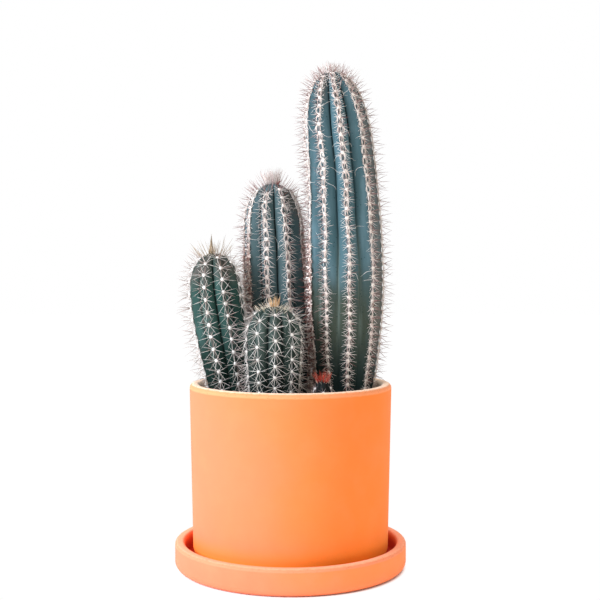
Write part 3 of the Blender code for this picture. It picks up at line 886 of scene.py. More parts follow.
def new_material(name, group_name, values, roughness=None, bump=0.0, bump_size=0.0004, **shader_values):
    """A material whose colour, roughness and relief come from one of the node groups."""
    material = bpy.data.materials.new(name)
    material.use_nodes = True
    tree = material.node_tree
    shader = tree.nodes["Principled BSDF"]
    group = bpy.data.node_groups.get(group_name) or GROUP_MAKERS[group_name]()
    pattern = put(tree, "Group", node_tree=group)
    for key, value in values.items():
        pattern.inputs[key].default_value = value if isinstance(value, (int, float)) else (*value, 1)
    tree.links.new(pattern.outputs["Color"], shader.inputs["Base Color"])
    if roughness is None:
        tree.links.new(pattern.outputs["Roughness"], shader.inputs["Roughness"])
    else:
        shader.inputs["Roughness"].default_value = roughness
    if bump:
        settings = {"Height": pattern.outputs["Height"], "Strength": bump, "Distance": bump_size}
        tree.links.new(put(tree, "Bump", settings).outputs[0], shader.inputs["Normal"])
    for key, value in shader_values.items():
        shader.inputs[key.replace("_", " ")].default_value = value
    return material


def fibre_material(name):
    if name in bpy.data.materials:
        return bpy.data.materials[name]
    return new_material(name, "fibre_tint", dict(zip(FIBRE_INPUTS, FIBRES[name])), roughness=FIBRE_ROUGHNESS)


def finish_piece(piece, slot=None, node=None):
    """Fix a piece to the frame, and hide the node that it stands for; the finish given as slot is not used.
    """
    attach(piece, "root")
    if node:
        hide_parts(node)


def saucer_profile():
    inner = SAUCER_RADIUS - SAUCER_WALL
    top = SAUCER_HEIGHT - SAUCER_LIP
    profile = [(0, SAUCER_FLOOR)]
    profile += arc(inner - SAUCER_COVE, SAUCER_FLOOR + SAUCER_COVE, SAUCER_COVE, -90, 0)
    profile += arc(inner + SAUCER_LIP, top, SAUCER_LIP, 180, 90)
    profile += arc(SAUCER_RADIUS - SAUCER_LIP, top, SAUCER_LIP, 90, 0)
    profile += arc(SAUCER_RADIUS - SAUCER_HEEL, SAUCER_HEEL, SAUCER_HEEL, 0, -90)
    return profile + [(0, 0)]


def pot_side(height):
    """Outer radius of the pot's straight side at a height."""
    share = (height - POT_BASE) / (POT_RIM - POT_BASE)
    return POT_FOOT_RADIUS + (POT_RADIUS - POT_FOOT_RADIUS) * share


def pot_bore(height):
    return pot_side(height) - POT_WALL


def pot_profile():
    lip = POT_RIM - POT_LIP
    heel = POT_BASE + POT_HEEL
    cove = FLOOR_TOP + POT_COVE
    profile = arc(POT_RADIUS - POT_LIP, lip, POT_LIP, 90, 0)
    profile += arc(pot_side(heel) - POT_HEEL, heel, POT_HEEL, 0, -90)
    profile += [(DRAIN_RADIUS, POT_BASE), (DRAIN_RADIUS, FLOOR_TOP)]
    profile += arc(pot_bore(cove) - POT_COVE, cove, POT_COVE, -90, 0)
    return profile + arc(POT_BORE + POT_LIP, lip, POT_LIP, 180, 90)[:-1]


def soil_surface(radius):
    """Height of the soil, which is a little higher in the middle."""
    return SOIL_RIM + SOIL_CROWN * (1 - (radius / POT_BORE) ** 2)


def soil_lumps(x, y):
    """Unevenness of the soil's surface."""
    broad = noise.noise(Vector((x, y, 0)) / 0.012)
    fine = noise.noise(Vector((x, y, 1)) / 0.0035)
    return 0.0012 * broad + 0.0005 * fine


def soil_profile():
    edge = pot_bore(SOIL_RIM) - GAP
    rings = np.linspace(0, edge, SOIL_RINGS)
    cove = FLOOR_TOP + POT_COVE
    profile = [(r, soil_surface(r)) for r in rings]
    profile += arc(pot_bore(cove) - POT_COVE, cove, POT_COVE - GAP, 0, -90, 4)
    return profile + [(0, FLOOR_TOP + GAP)]


def stone_shapes(rng, count):
    """Rounded grains of unit size and unlike shapes, and the faces of one."""
    golden = (1 + 5**0.5) / 2
    corners = [(0, a, b * golden) for a in (-1, 1) for b in (-1, 1)]
    corners = unit(np.array([np.roll(c, k) for k in range(3) for c in corners], float))
    shapes = corners * rng.uniform(0.72, 1.2, (count, GRAIN_POINTS, 1))
    shapes = shapes * rng.uniform(0.65, 1.15, (count, 1, 3))
    frames = np.linalg.qr(rng.normal(size=(count, 3, 3)))[0]
    apart = np.linalg.norm(corners[:, None] - corners, axis=2)
    near = apart < np.sort(apart.ravel())[GRAIN_POINTS] * 1.1
    faces = [f for f in combinations(range(GRAIN_POINTS), 3) if near[np.ix_(f, f)].all()]
    faces = np.array([f if np.linalg.det(corners[list(f)]) > 0 else f[::-1] for f in faces])
    return np.einsum("nij,nkj->nki", frames, shapes), faces


def foot_circles():
    """Middle and radius of each stem where it leaves the soil."""
    return [(s.read(s.soil_line, s.line[:, :2]), float(s.crest(np.array(s.soil_line)))) for s in STEMS]


def scattered_grains(rng, count):
    """Grains strewn over the soil, clear of the stems."""
    edge = pot_bore(SOIL_RIM) - GRAIN_MARGIN
    feet = foot_circles()
    spots = []
    while len(spots) < count:
        radius, turn = edge * math.sqrt(rng.uniform()), rng.uniform(0, 2 * math.pi)
        x, y = radius * math.cos(turn), radius * math.sin(turn)
        if all(math.hypot(x - foot[0], y - foot[1]) >= 0.86 * reach for foot, reach in feet):
            spots.append((x, y, soil_surface(radius) + soil_lumps(x, y)))
    shapes, faces = stone_shapes(rng, count)
    least, most = GRAIN_SIZES
    scale = (rng.uniform(0, 1, count) ** 3 * (most - least) + least)[:, None, None]
    points = np.array(spots)[:, None] + shapes * scale
    points[:, :, 2] += 0.25 * scale[:, :, 0]
    return points.reshape(-1, 3), copies(faces, GRAIN_POINTS, count)


def ring_places(stem, spacing):
    """Distances from the foot of the skin's rings: few below the soil, close above it."""
    low = stem.soil_line - BURIED
    foot = np.concatenate((FOOT_RINGS, np.linspace(FOOT_ROUND, low, 3)))
    column = np.linspace(low, stem.crown_start, max(2, int((stem.crown_start - low) / spacing)))[1:]
    angles = np.radians(np.linspace(0, 89.2, int(stem.crown_height / spacing * 1.3)))[1:]
    return np.concatenate((foot, column, stem.crown_start + stem.crown_height * np.sin(angles)))


def rib_columns(stem):
    """Each column of the skin's points: its rib, the way to the next, and its share from crest to furrow."""
    columns = []
    for rib in range(len(stem.ribs)):
        columns += [(rib, 1, share) for share in RIB_SHARES]
        columns += [(rib, 1, 1.0)]
        columns += [(rib + 1, -1, share) for share in RIB_SHARES[:0:-1]]
    return np.array(columns)


def weathering(stem, angle, height):
    """How worn the skin is at an angle and a height: 1 on the stem's weathered sides."""
    degrees = np.degrees(angle) % 360
    weather = np.zeros_like(degrees)
    for first, last, low in stem.weathered:
        patch = part_way(degrees, first, WEATHER_EDGE) * part_way(degrees, last, -WEATHER_EDGE)
        weather = np.maximum(weather, patch * part_way(height, low, WEATHER_FADE))
    return weather


def skin_surface(stem, skin):
    """Distances of the skin's rings, its columns' shares from crest to furrow, its wear and its points."""
    s = ring_places(stem, skin.ring_spacing)
    level = s[:, None]
    rib, side, share = rib_columns(stem).T
    rib, side = rib.astype(int), side.astype(int)
    here = stem.rib_angle(rib[None], level)
    beyond = stem.rib_angle(rib[None] + side[None], level)
    angle = here + (beyond - here) * share / 2
    centre, _, outward, _ = stem.axes(level + 0 * angle, angle)
    crest = stem.crest(s)[:, None]
    flank = 1 - (1 - stem.furrow) * share**skin.flank_curve
    shallow = stem.shallow * part_way(centre[..., 2], SHALLOW_BELOW, -SHALLOW_FADE)
    flank = flank + (1 - flank) * shallow
    crease = skin.crease * np.exp(-(((1 - share) / CREASE_WIDTH) ** 2)) * (1 - shallow)
    count = len(stem.ribs)
    swell = np.stack([swelling(s, level_of(stem, r)) for r in range(count)], 1)[:, rib % count]
    dent = stem.notch * (1 - swell) * np.exp(-((share / NOTCH_WIDTH) ** 2))
    ripple = RIPPLE * np.sin(level / RIPPLE_WAVE + 2.3 * rib) * share * (1 - share) * 4
    shrink = np.minimum(1, crest / (0.5 * crest.max()))
    radius = crest * (flank - crease) - (dent + ripple) * shrink
    weather = weathering(stem, angle, centre[..., 2])
    return s, share, weather, centre + outward * radius[..., None]


def level_of(stem, rib):
    """Areole distances on a rib: odd ribs bear theirs halfway between those of even ribs."""
    levels = stem.levels()
    return (levels[1:] + levels[:-1]) / 2 if rib % 2 else levels


def swelling(s, levels):
    """1 at an areole and 0 between areoles."""
    width = np.interp(s, levels[1:], np.diff(levels))
    nearest = np.abs(s[:, None] - levels).min(1)
    return np.exp(-((nearest / (0.30 * width)) ** 2))


def skin_piece(stem, skin, material):
    """The whole skin of a stem, closed at the foot and at the crown."""
    s, share, weather, rings = skin_surface(stem, skin)
    rows, columns = rings.shape[:2]
    points = np.concatenate((rings.reshape(-1, 3), stem.line[[0, -1], :3]))
    column = np.arange(columns)
    after = np.roll(column, -1)
    top = (rows - 1) * columns
    foot, crown = (np.full(columns, rows * columns + k) for k in (0, 1))
    ends = [np.stack((after, column, foot), 1), np.stack((top + column, top + after, crown), 1)]
    faces = np.concatenate((band_faces(rows, columns), *ends))

    flat = np.stack(np.meshgrid(np.arange(columns + 1) / columns, s / stem.length), -1)
    chart = [halved(flat[:-1, :-1], flat[:-1, 1:], flat[1:, 1:], flat[1:, :-1])]
    left, right, middle = ((column + k) / columns for k in (0, 1, 0.5))
    foot_cap = ((right, 0.001), (left, 0.001), (middle, 0.0))
    crown_cap = ((left, 0.999), (right, 0.999), (middle, 1.0))
    for cap in (foot_cap, crown_cap):
        chart.append(np.stack([np.stack((x, np.full(columns, y)), 1) for x, y in cap], 1))

    values = {
        "rib": np.append(np.broadcast_to(share, (rows, columns)), (0, 0)),
        "weather": np.append(weather, (0, 0)),
    }
    chart = np.concatenate(chart).reshape(-1, 2)
    piece = add_mesh(stem.name + "_skin", points, faces, material, values, chart)
    finish_piece(piece, stem.slot, stem.name)


def areoles(stem):
    """Each areole's place, its directions out, up and across, its size and how aged it looks, which on the
    ribs facing the other stems is partly painted shade.
    """
    rng = np.random.default_rng(AREOLE_SEED)
    rows = []
    for rib, turn in enumerate(stem.ribs):
        levels = level_of(stem, rib)
        s = levels + rng.uniform(-AREOLE_JITTER, AREOLE_JITTER, len(levels)) * stem.step
        s = s[(s > stem.soil_line + SOIL_MARGIN) & (s < stem.length - TIP_MARGIN)]
        angle = stem.rib_angle(np.full(len(s), rib), s)
        centre, growth, outward, across = stem.axes(s, angle)
        slope = (stem.crest(s + SLOPE_STEP) - stem.crest(s - SLOPE_STEP)) / (2 * SLOPE_STEP)
        out = unit(outward - growth * slope[:, None])
        up = unit(growth + outward * slope[:, None])
        place = centre + outward * stem.crest(s)[:, None]
        height = place[:, 2]
        size = 0.75 + 0.25 * stem.crest(s) / stem.line[:, 3].max()
        is_aged_shaded = turn in stem.aged_shaded_ribs
        # Painted shade: the ribs facing the other stems are aged and browner below a height, partly standing
        # for the shade that falls there.
        aged_shaded = (1.0 if is_aged_shaded else YOUNG_UNSHADED_RIB) * part_way(height, AGED_SHADED_BELOW, -AGED_SHADED_FADE)
        aged_shaded = aged_shaded * (1 - FOOT_PALING * part_way(height, FOOT_BELOW, -FOOT_FADE))
        shaggy = (height < SHAGGY_BELOW) & is_aged_shaded
        rows.append(np.concatenate((place, out, up, across, np.stack((size, aged_shaded, s, shaggy), 1)), 1))
    return np.concatenate(rows)


def is_clear(points, owner):
    """Whether each strand, given as rows of points, misses the pot, the soil and the other stems."""
    flat = points.reshape(-1, 3)
    height = flat[:, 2]
    radius = np.hypot(flat[:, 0], flat[:, 1])
    good = (height > SOIL_RIM - SOIL_DIP) & (height < CAD_BOX[1][2])
    good &= np.abs(flat[:, :2]).max(1) < SAUCER_RADIUS
    good &= (radius < POT_BORE - GAP) | (height > POT_RIM + RIM_CLEARANCE)
    for stem in STEMS:
        if stem is not owner:
            line = stem.line[::4]
            gap = np.linalg.norm(flat[:, None] - line[None, :, :3], axis=2)
            good &= (gap - line[None, :, 3] * CORE_SHARE).min(1) > 0
    return good.reshape(points.shape[:2]).all(1)


def bent_lines(root, direction, length, bend, count):
    """Points along gently bent strands."""
    t = np.linspace(0, 1, count)[None, :, None]
    reach = length[:, None, None]
    return root[:, None] + reach * (direction[:, None] * t + bend[:, None] * t**2)


def fitted_lines(stem, root, direction, length, bend, count):
    """Strands that are cut shorter where they would run into something, and which of them remain."""
    share = np.ones(len(root))
    lines = bent_lines(root, direction, length, bend, count)
    for cut in CUTS:
        bad = ~is_clear(lines[:, 1:], stem)
        if not bad.any():
            break
        share[bad] = cut
        lines = bent_lines(root, direction, length * share, bend, count)
    return lines, is_clear(lines[:, 1:], stem)


def strand_mesh(lines, thick, tone, sides=3):
    """Tapered strands round lines of points, each with a closed root and a sharp tip.

    Gives their points and faces, and each point's tone and its share along its strand.
    """
    number, count = lines.shape[:2]
    t = np.linspace(0, 1, count)
    tangent = unit(np.gradient(lines, axis=1))
    hint = unit(np.roll(tangent[:, :1], 1, axis=2) + 0.31 * tangent[:, :1] + (0.02, 0.01, 0.03))
    first = unit(hint - tangent * (hint * tangent).sum(2, keepdims=True))
    second = np.cross(tangent, first)
    turn = 2 * math.pi * np.arange(sides) / sides
    ring = first[:, :-1, None] * np.cos(turn)[:, None] + second[:, :-1, None] * np.sin(turn)[:, None]
    taper = STRAND_TIP + (1 - STRAND_TIP) * (1 - t[:-1]) ** STRAND_TAPER
    rings = lines[:, :-1, None] + ring * (np.reshape(thick, (-1, 1)) * taper)[..., None, None]
    points = np.concatenate((rings.reshape(number, -1, 3), lines[:, -1:]), 1)
    each = points.shape[1]
    last = each - 1 - sides + np.arange(sides)
    point = np.stack((last, np.roll(last, -1), np.full(sides, each - 1)), 1)
    root = [(0, k + 1, k) for k in range(1, sides - 1)]
    faces = np.concatenate((band_faces(count - 1, sides), point, root))
    along = np.append(np.repeat(t[:-1], sides), 1.0)
    return points.reshape(-1, 3), copies(faces, each, number), np.repeat(tone, each), np.tile(along, number)


def fibre_piece(name, look, parts):
    """One piece from many sets of strands."""
    points, faces, tone, along = zip(*parts)
    starts = np.cumsum([0] + [len(some) for some in points[:-1]])
    faces = np.concatenate([some + start for some, start in zip(faces, starts)])
    points, tone, along = (np.concatenate(column) for column in (points, tone, along))
    chart = np.stack((tone, along), 1)[faces.ravel()]
    finish_piece(add_mesh(name, points, faces, fibre_material(look), {"tone": tone, "along": along}, chart))


def leaning(rows, turn, lean):
    """Directions at areoles that lean from outward, turned from up; and the way that each leans."""
    sideways = rows[:, UP] * np.cos(turn)[:, None] + rows[:, ACROSS] * np.sin(turn)[:, None]
    return rows[:, OUT] * np.cos(lean)[:, None] + sideways * np.sin(lean)[:, None], sideways


def coat_spines(stem, spots, coat, rng, thick_scale):
    """All spines of one kind on a stem."""
    number = len(spots)
    each = np.repeat(spots, coat.count, 0)
    total = len(each)
    order = np.tile(np.arange(coat.count), number)
    place = (order + rng.uniform(0.1, 0.9, total)) / coat.count
    turn = coat.arc[0] + (coat.arc[1] - coat.arc[0]) * place
    swing = np.repeat(rng.uniform(-9, 9, number), coat.count)
    turn = np.radians(np.where(order % 2, turn, -turn) + swing)
    lean = np.radians(rng.uniform(*coat.lean, total))
    length = rng.uniform(*coat.length, total) * MM * (1 - coat.downward * np.cos(turn))
    length = length * (0.6 + 0.4 * each[:, SIZE])
    direction, sideways = leaning(each, turn, lean)
    bend = rng.normal(0, 0.014, (total, 3)) - (0, 0, 0.02)
    root = each[:, :3] + sideways * ROOT_RING - each[:, OUT] * ROOT_SUNK
    root = root + each[:, UP] * (rng.uniform(-1, 1, total) * coat.spread * stem.step)[:, None]
    lines, kept = fitted_lines(stem, root, direction, length, bend, 4)
    tone = rng.uniform(*coat.tone, total) + coat.age_shading * each[:, AGED_SHADED] * rng.uniform(0.3, 1, total)
    thick = coat.thick * MM * thick_scale * rng.uniform(0.8, 1.15, total)
    return strand_mesh(lines[kept], thick[kept], np.clip(tone, 0, 1)[kept])


def dressed_stems(seed):
    """Each stem with its areoles and a fresh source of random draws."""
    for stem in STEMS:
        yield stem, areoles(stem), np.random.default_rng(seed)


def wool_pads(stem, spots, rng, size):
    """A lumpy cushion of wool on each areole, in the form that strand_mesh gives."""
    turn = 2 * math.pi * np.arange(PAD_STEPS) / PAD_STEPS
    dome = [(0, 0, 1.0)]
    for polar in PAD_RINGS:
        dome += [(np.sin(polar) * np.cos(a), np.sin(polar) * np.sin(a), np.cos(polar)) for a in turn]
    dome = np.array(dome + [(0, 0, -0.5)])
    number, each = len(spots), len(dome)
    lump = 1 + rng.uniform(-0.22, 0.22, (number, each, 1))
    local = dome * lump * np.array(stem.pad) * MM * size * spots[:, None, SIZE:SIZE + 1]
    points = spots[:, None, :3] + spots[:, None, OUT] * PAD_LIFT
    for k, part in enumerate((ACROSS, UP, OUT)):
        points = points + local[:, :, k:k + 1] * spots[:, None, part]
    k = np.arange(PAD_STEPS)
    after, last = np.roll(k, -1), each - 1 - PAD_STEPS
    top = np.stack((0 * k, 1 + k, 1 + after), 1)
    bottom = np.stack((last + k, 0 * k + each - 1, last + after), 1)
    faces = np.concatenate((top, 1 + band_faces(len(PAD_RINGS), PAD_STEPS)[:, ::-1], bottom))
    tone = np.clip(rng.uniform(0, 0.25, number) + 0.5 * spots[:, AGED_SHADED], 0, 1)
    along = np.clip(0.5 - 0.5 * dome[:, 2], 0, 1)
    return points.reshape(-1, 3), copies(faces, each, number), np.repeat(tone, each), np.tile(along, number)


def wool_fibres(stem, spots, rng, count):
    """Short fine hairs that make the wool pads fuzzy."""
    each = np.repeat(spots, count, 0)
    total = len(each)
    turn, lean = rng.uniform(0, 2 * math.pi, total), np.radians(rng.uniform(5, 86, total))
    direction = leaning(each, turn, lean)[0]
    width = np.mean(stem.pad[:2]) * MM * each[:, SIZE]
    root = each[:, :3] + direction * (0.55 * width)[:, None]
    length = rng.uniform(0.5, 1.3, total) * MM
    lines = bent_lines(root, direction, length, rng.normal(0, 0.25, (total, 3)), 3)
    tone = np.clip(rng.uniform(0, 0.2, total) + 0.4 * each[:, AGED_SHADED], 0, 1)
    kept = is_clear(lines, stem)
    return strand_mesh(lines[kept], WOOL_HAIR, tone[kept])


def braid_hairs(stem, spots, rng):
    """Curved hairs that run down both sides of a crest, from each areole to the next one below."""
    parts = []
    below = np.roll(np.arange(len(spots)), 1)
    linked = spots[:, FAR] > spots[below, FAR]
    start, end = spots[linked], spots[below][linked]
    number = len(start)
    strands, wide, narrow, height = stem.braid
    width = narrow + (wide - narrow) * part_way(start[:, 2], height, BRAID_FADE)
    width = width * rng.uniform(0.5, 1.12, (2, number))
    few, many = BRAID_SHARES
    share = few + (many - few) * part_way(start[:, 2], height - 0.02, 0.04)
    for strand in range(strands):
        side = 1 if strand % 2 else -1
        outer = strand % 4 < 3
        reach = rng.uniform(0.62, 1.05, number) if outer else rng.uniform(-0.1, 0.6, number)
        out = reach * width[strand % 2] * MM * side * start[:, SIZE]
        lift = rng.uniform(0.0, 0.9, number) * MM
        t = rng.uniform(-0.12, 0.2, (number, 1)) + np.linspace(0, 1, 6) * rng.uniform(0.7, 1.0, (number, 1))
        t = t[:, :, None]
        bulge = np.sin(math.pi * np.clip(t, 0, 1)) ** rng.uniform(0.6, 1.4)
        lines = start[:, None, :3] * (1 - t) + end[:, None, :3] * t
        lines = lines + (0.45 + 0.55 * bulge) * (out[:, None] * start[:, ACROSS])[:, None]
        lines = lines + bulge * (lift[:, None] * start[:, OUT])[:, None]
        lines = lines + rng.normal(0, BRAID_SCATTER, lines.shape)
        kept = is_clear(lines, stem) & (rng.uniform(size=number) < share)
        tone = np.clip(rng.uniform(0, 0.45, number) + 0.6 * start[:, AGED_SHADED], 0, 1)
        parts.append(strand_mesh(lines[kept], BRAID_HAIR, tone[kept]))
    return parts


def curly_hairs(stem, spots, rng):
    """Long loose hairs that curl from a crest over the flank beside it."""
    t = np.linspace(0, 1, CURL_POINTS)
    high = np.flatnonzero(spots[:, 2] > stem.line[-1, 2] - CURLS_BELOW_TOP)
    lines = []
    for spot in spots[rng.choice(high, stem.curls)]:
        length, side = rng.uniform(8, 17) * MM, rng.choice((-1, 1))
        turn, swing, wave = rng.uniform(72, 146), rng.uniform(-50, 70), rng.uniform(0, 6.3)
        angles = np.radians(turn + swing * t + 24 * np.sin(7 * t + wave))
        steps = spot[UP] * np.cos(angles)[:, None] + side * spot[ACROSS] * np.sin(angles)[:, None]
        path = np.concatenate((np.zeros((1, 3)), np.cumsum(steps[:-1], 0))) * length / (CURL_POINTS - 1)
        rise = np.sin(0.8 * math.pi * t) * rng.uniform(1.2, 2.6) * MM + 0.6 * MM
        lines.append(spot[:3] + path + spot[OUT] * rise[:, None])
    lines = on_skin(stem, np.array(lines))
    lines = lines[is_clear(lines, stem)]
    return strand_mesh(lines, CURL_HAIR, rng.uniform(0, 0.2, len(lines)))


def on_skin(stem, lines):
    """Move the points of strands in or out, so that they lie a little over the ribbed skin."""
    flat = lines.reshape(-1, 3)
    nearest = np.linalg.norm(flat[:, None] - stem.line[None, :, :3], axis=2).argmin(1)
    s = stem.along[nearest]
    centre, _, front, right = stem.axes(s, np.zeros(len(s)))
    away = flat - centre
    angle = np.arctan2((away * right).sum(1), (away * front).sum(1))
    ribs = stem.rib_angle(np.arange(len(stem.ribs))[None], s[:, None])
    apart = np.abs((angle[:, None] - ribs + math.pi) % (2 * math.pi) - math.pi).min(1)
    share = np.clip(apart / (math.pi / len(stem.ribs)), 0, 1)
    surface = stem.crest(s) * (1 - (1 - stem.furrow) * share**2)
    radius = np.linalg.norm(away, axis=1)
    low, high = CURL_HEIGHTS
    wanted = np.clip(radius, surface + low, surface + high)
    return (centre + away / radius[:, None] * wanted[:, None]).reshape(lines.shape)


def crown_places(stem, count, jitter):
    """Even places on a disc at the stem's top: shares of its radius, and the axes there."""
    number = np.arange(count)
    turn = number * GOLDEN_ANGLE + jitter
    centre, growth, outward, _ = stem.axes(np.full(count, stem.length - 1e-6), turn)
    return np.sqrt((number + 0.5) / count), centre, growth, outward


def tuft_strands(stem, tuft, rng):
    """The bristles of a tuft, closer together near the middle."""
    jitter = rng.uniform(-0.3, 0.3, tuft.count)
    share, centre, growth, outward = crown_places(stem, tuft.count, jitter)
    reach = share * tuft.radius
    dome = (1 - (reach / stem.line[-1, 3]) ** CROWN_POWER) ** (1 / CROWN_POWER)
    drop = stem.crown_height * (1 - dome) + TUFT_SUNK
    root = centre + outward * reach[:, None] - growth * drop[:, None]
    direction = unit(growth + outward * (tuft.fan * share)[:, None] + rng.normal(0, 0.07, (tuft.count, 3)))
    length = rng.uniform(*tuft.length, tuft.count) * MM
    bend = growth * 0.08 + rng.normal(0, 0.05, (tuft.count, 3))
    lines, kept = fitted_lines(stem, root, direction, length, bend, 5)
    return strand_mesh(lines[kept], tuft.thick * MM, rng.uniform(*tuft.tone, tuft.count)[kept])


def crown_spike(stem, rng, count=60):
    """New spines of the left stem, still bundled in one upright point."""
    share, centre, growth, outward = crown_places(stem, count, 0)
    upright = unit(growth + SPIKE_LEAN)
    root = centre + outward * (share * SPIKE_RADIUS)[:, None] - growth * SPIKE_SUNK + SPIKE_SHIFT
    inner, outer = SPIKE_LENGTHS
    length = (inner + (outer - inner) * share) * rng.uniform(0.9, 1.05, count)
    direction = unit(upright * (length / MM)[:, None] - outward * (share * 2.0)[:, None])
    lines = bent_lines(root, direction, length, rng.normal(0, 0.015, (count, 3)), 5)
    return strand_mesh(lines, SPIKE_HAIR, rng.uniform(0.4, 0.75, count))


def dark_spine(stem):
    """One stout dark red spine that lies beside the middle stem's brush."""
    return strand_mesh((stem.line[-1, :3] + DARK_SPINE_POINTS)[None], DARK_SPINE, np.ones(1), sides=6)


COLOUR = {"subtype": "COLOR", "min": 0, "max": 1}


class ClaySettings(bpy.types.PropertyGroup):
    """Look of the pot, the saucer and the soil."""

    pot_colour: FloatVectorProperty(
        name="Pot", description="Fired colour of the pot", default=(0.90, 0.192, 0.086), **COLOUR)
    # Painted shade: the pot's clay towards its right, more saturated as on a side turned from the light.
    pot_flush_and_shade: FloatVectorProperty(
        name="Pot flush", description="Warmer clay towards the pot's right", default=(0.90, 0.203, 0.030),
        **COLOUR)
    saucer_colour: FloatVectorProperty(
        name="Saucer", description="Fired colour of the saucer", default=(0.86, 0.200, 0.100), **COLOUR)
    # Painted shade: the saucer's clay towards its right, more saturated as on a side turned from the light.
    saucer_flush_and_shade: FloatVectorProperty(
        name="Saucer flush", description="Warmer clay towards the saucer's right",
        default=(0.88, 0.252, 0.074), **COLOUR)
    # Pale dust in patches, and painted light on the pot's lip.
    dust_and_lip_light: FloatVectorProperty(
        name="Dust", description="Pale lip and dusty patches", default=(0.86, 0.31, 0.135), **COLOUR)
    # Painted light: the pot's inner wall painted pale, as if brightly lit.
    inner_wall_light: FloatVectorProperty(
        name="Salts", description="Pale bloom on the pot's inner wall", default=(1.0, 0.85, 0.69), **COLOUR)
    turning_steps: IntProperty(
        name="Steps", description="Faces round the pot and saucer", default=144, min=24, max=360)
    grains: IntProperty(
        name="Grains", description="Loose grains strewn on the soil", default=2600, min=1, max=6000)


class SkinSettings(bpy.types.PropertyGroup):
    """Shape of the stems' ribs."""

    ring_spacing: FloatProperty(
        name="Rings", description="Height between rings of the skin", default=0.0015, min=0.0008, max=0.006,
        unit="LENGTH")
    flank_curve: FloatProperty(
        name="Flank", description="How full the ribs' flanks are", default=1.35, min=1, max=3)
    crease: FloatProperty(
        name="Crease", description="Extra depth of the furrows, as a share of the radius", default=0.018,
        min=0, max=0.1, subtype="FACTOR")


class CoatSettings(bpy.types.PropertyGroup):
    """Wool, spines and hairs."""

    thickness: FloatProperty(
        name="Thickness", description="Scale of the spines' thickness", default=1.0, min=0.3, max=3)
    wool_size: FloatProperty(
        name="Wool", description="Scale of the wool pads", default=1.0, min=0.2, max=2)
    wool_hairs: IntProperty(
        name="Wool hairs", description="Fine hairs on each wool pad", default=9, min=1, max=40)


class StageSettings(bpy.types.PropertyGroup):
    """Floor, lights and camera."""

    key_power: FloatProperty(
        name="Key", description="Power of the soft light at the front left", default=19, min=0, unit="POWER")
    fill_power: FloatProperty(
        name="Fill", description="Power of the soft light at the right", default=1.5, min=0, unit="POWER")
    horizon: FloatProperty(
        name="Horizon", description="Light from all round", default=0.40, min=0, max=2)
    zenith: FloatProperty(
        name="Zenith", description="Light added from above", default=0.55, min=0, max=2)
    backdrop: FloatProperty(
        name="Backdrop", description="Light added from behind", default=0.75, min=0, max=2)
    lens: FloatProperty(
        name="Lens", description="Focal length in millimetres on a 36 mm sensor", default=66.3, min=20,
        max=200)


class CACTUS_OT_saucer(bpy.types.Operator):
    """Turn the terracotta saucer"""

    bl_idname = "cactus.saucer"
    bl_label = "Saucer"

    def execute(self, context):
        clay = context.scene.cactus_clay
        # The saucer's Inner colour is painted shade in its channel below the rim.
        values = {
            "Body": clay.saucer_colour, "Flush And Shade": clay.saucer_flush_and_shade, "Foot Glow": clay.saucer_colour,
            # Pale is the saucer's dust and its lip painted as light from above; Top is its flat rim painted
            # paler as light from above.
            "Pale": (0.87, 0.27, 0.14), "Inner": (0.62, 0.035, 0.004), "Top": (0.95, 0.42, 0.25),
            "Bore": SAUCER_RADIUS - SAUCER_WALL, "Lip Height": SAUCER_HEIGHT, "Lip Depth": 0.0026,
            "Bloom From": 0.0015, "Bloom To": 0.008, "Foot Glow Height": 0, "Dust": 0.3,
        }
        material = new_material("saucer_clay_look", "terracotta", values, **CLAY_SHADER)
        piece = turned("saucer_clay", saucer_profile(), False, clay.turning_steps, material)
        finish_piece(piece, "saucer_clay", "saucer")
        return {"FINISHED"}


class CACTUS_OT_pot(bpy.types.Operator):
    """Turn the terracotta pot"""

    bl_idname = "cactus.pot"
    bl_label = "Pot"

    def execute(self, context):
        clay = context.scene.cactus_clay
        values = {
            # The pot's foot colour is painted light reflected from the saucer.
            "Body": clay.pot_colour, "Flush And Shade": clay.pot_flush_and_shade, "Foot Glow": (1.0, 0.30, 0.010),
            # Top is the pot's flat rim painted paler, as light from above.
            "Pale": clay.dust_and_lip_light, "Inner": clay.inner_wall_light, "Top": (0.98, 0.74, 0.55),
            "Bore": POT_BORE, "Lip Height": POT_RIM, "Lip Depth": 0.0037,
            "Bloom From": -0.001, "Bloom To": 0.0006, "Foot Glow Height": SAUCER_HEIGHT, "Dust": 0.10,
        }
        material = new_material("pot_clay_look", "terracotta", values, **CLAY_SHADER)
        piece = turned("pot_clay", pot_profile(), True, clay.turning_steps, material)
        finish_piece(piece, "pot_clay", "pot")
        return {"FINISHED"}


class CACTUS_OT_soil(bpy.types.Operator):
    """Fill the pot with soil and strew grit on it"""

    bl_idname = "cactus.soil"
    bl_label = "Soil"

    def execute(self, context):
        material = new_material("soil_look", "grit", {}, bump=0.9, bump_size=0.0008)
        piece = frozen(turned("soil_filling", soil_profile(), False, SOIL_STEPS, material))
        for vertex in piece.data.vertices:
            if vertex.co.z > SOIL_RIM - 0.0001:
                vertex.co.z += soil_lumps(vertex.co.x, vertex.co.y)
        finish_piece(piece, "soil", "soil")
        rng = np.random.default_rng(GRAIN_SEED)
        points, faces = scattered_grains(rng, context.scene.cactus_clay.grains)
        tone = np.repeat(rng.uniform(0, 1, len(points) // GRAIN_POINTS), GRAIN_POINTS)
        chart = points[faces.ravel(), :2] / (2 * POT_BORE) + 0.5
        finish_piece(add_mesh("soil_grains", points, faces, material, {"tone": tone}, chart), "soil")
        return {"FINISHED"}


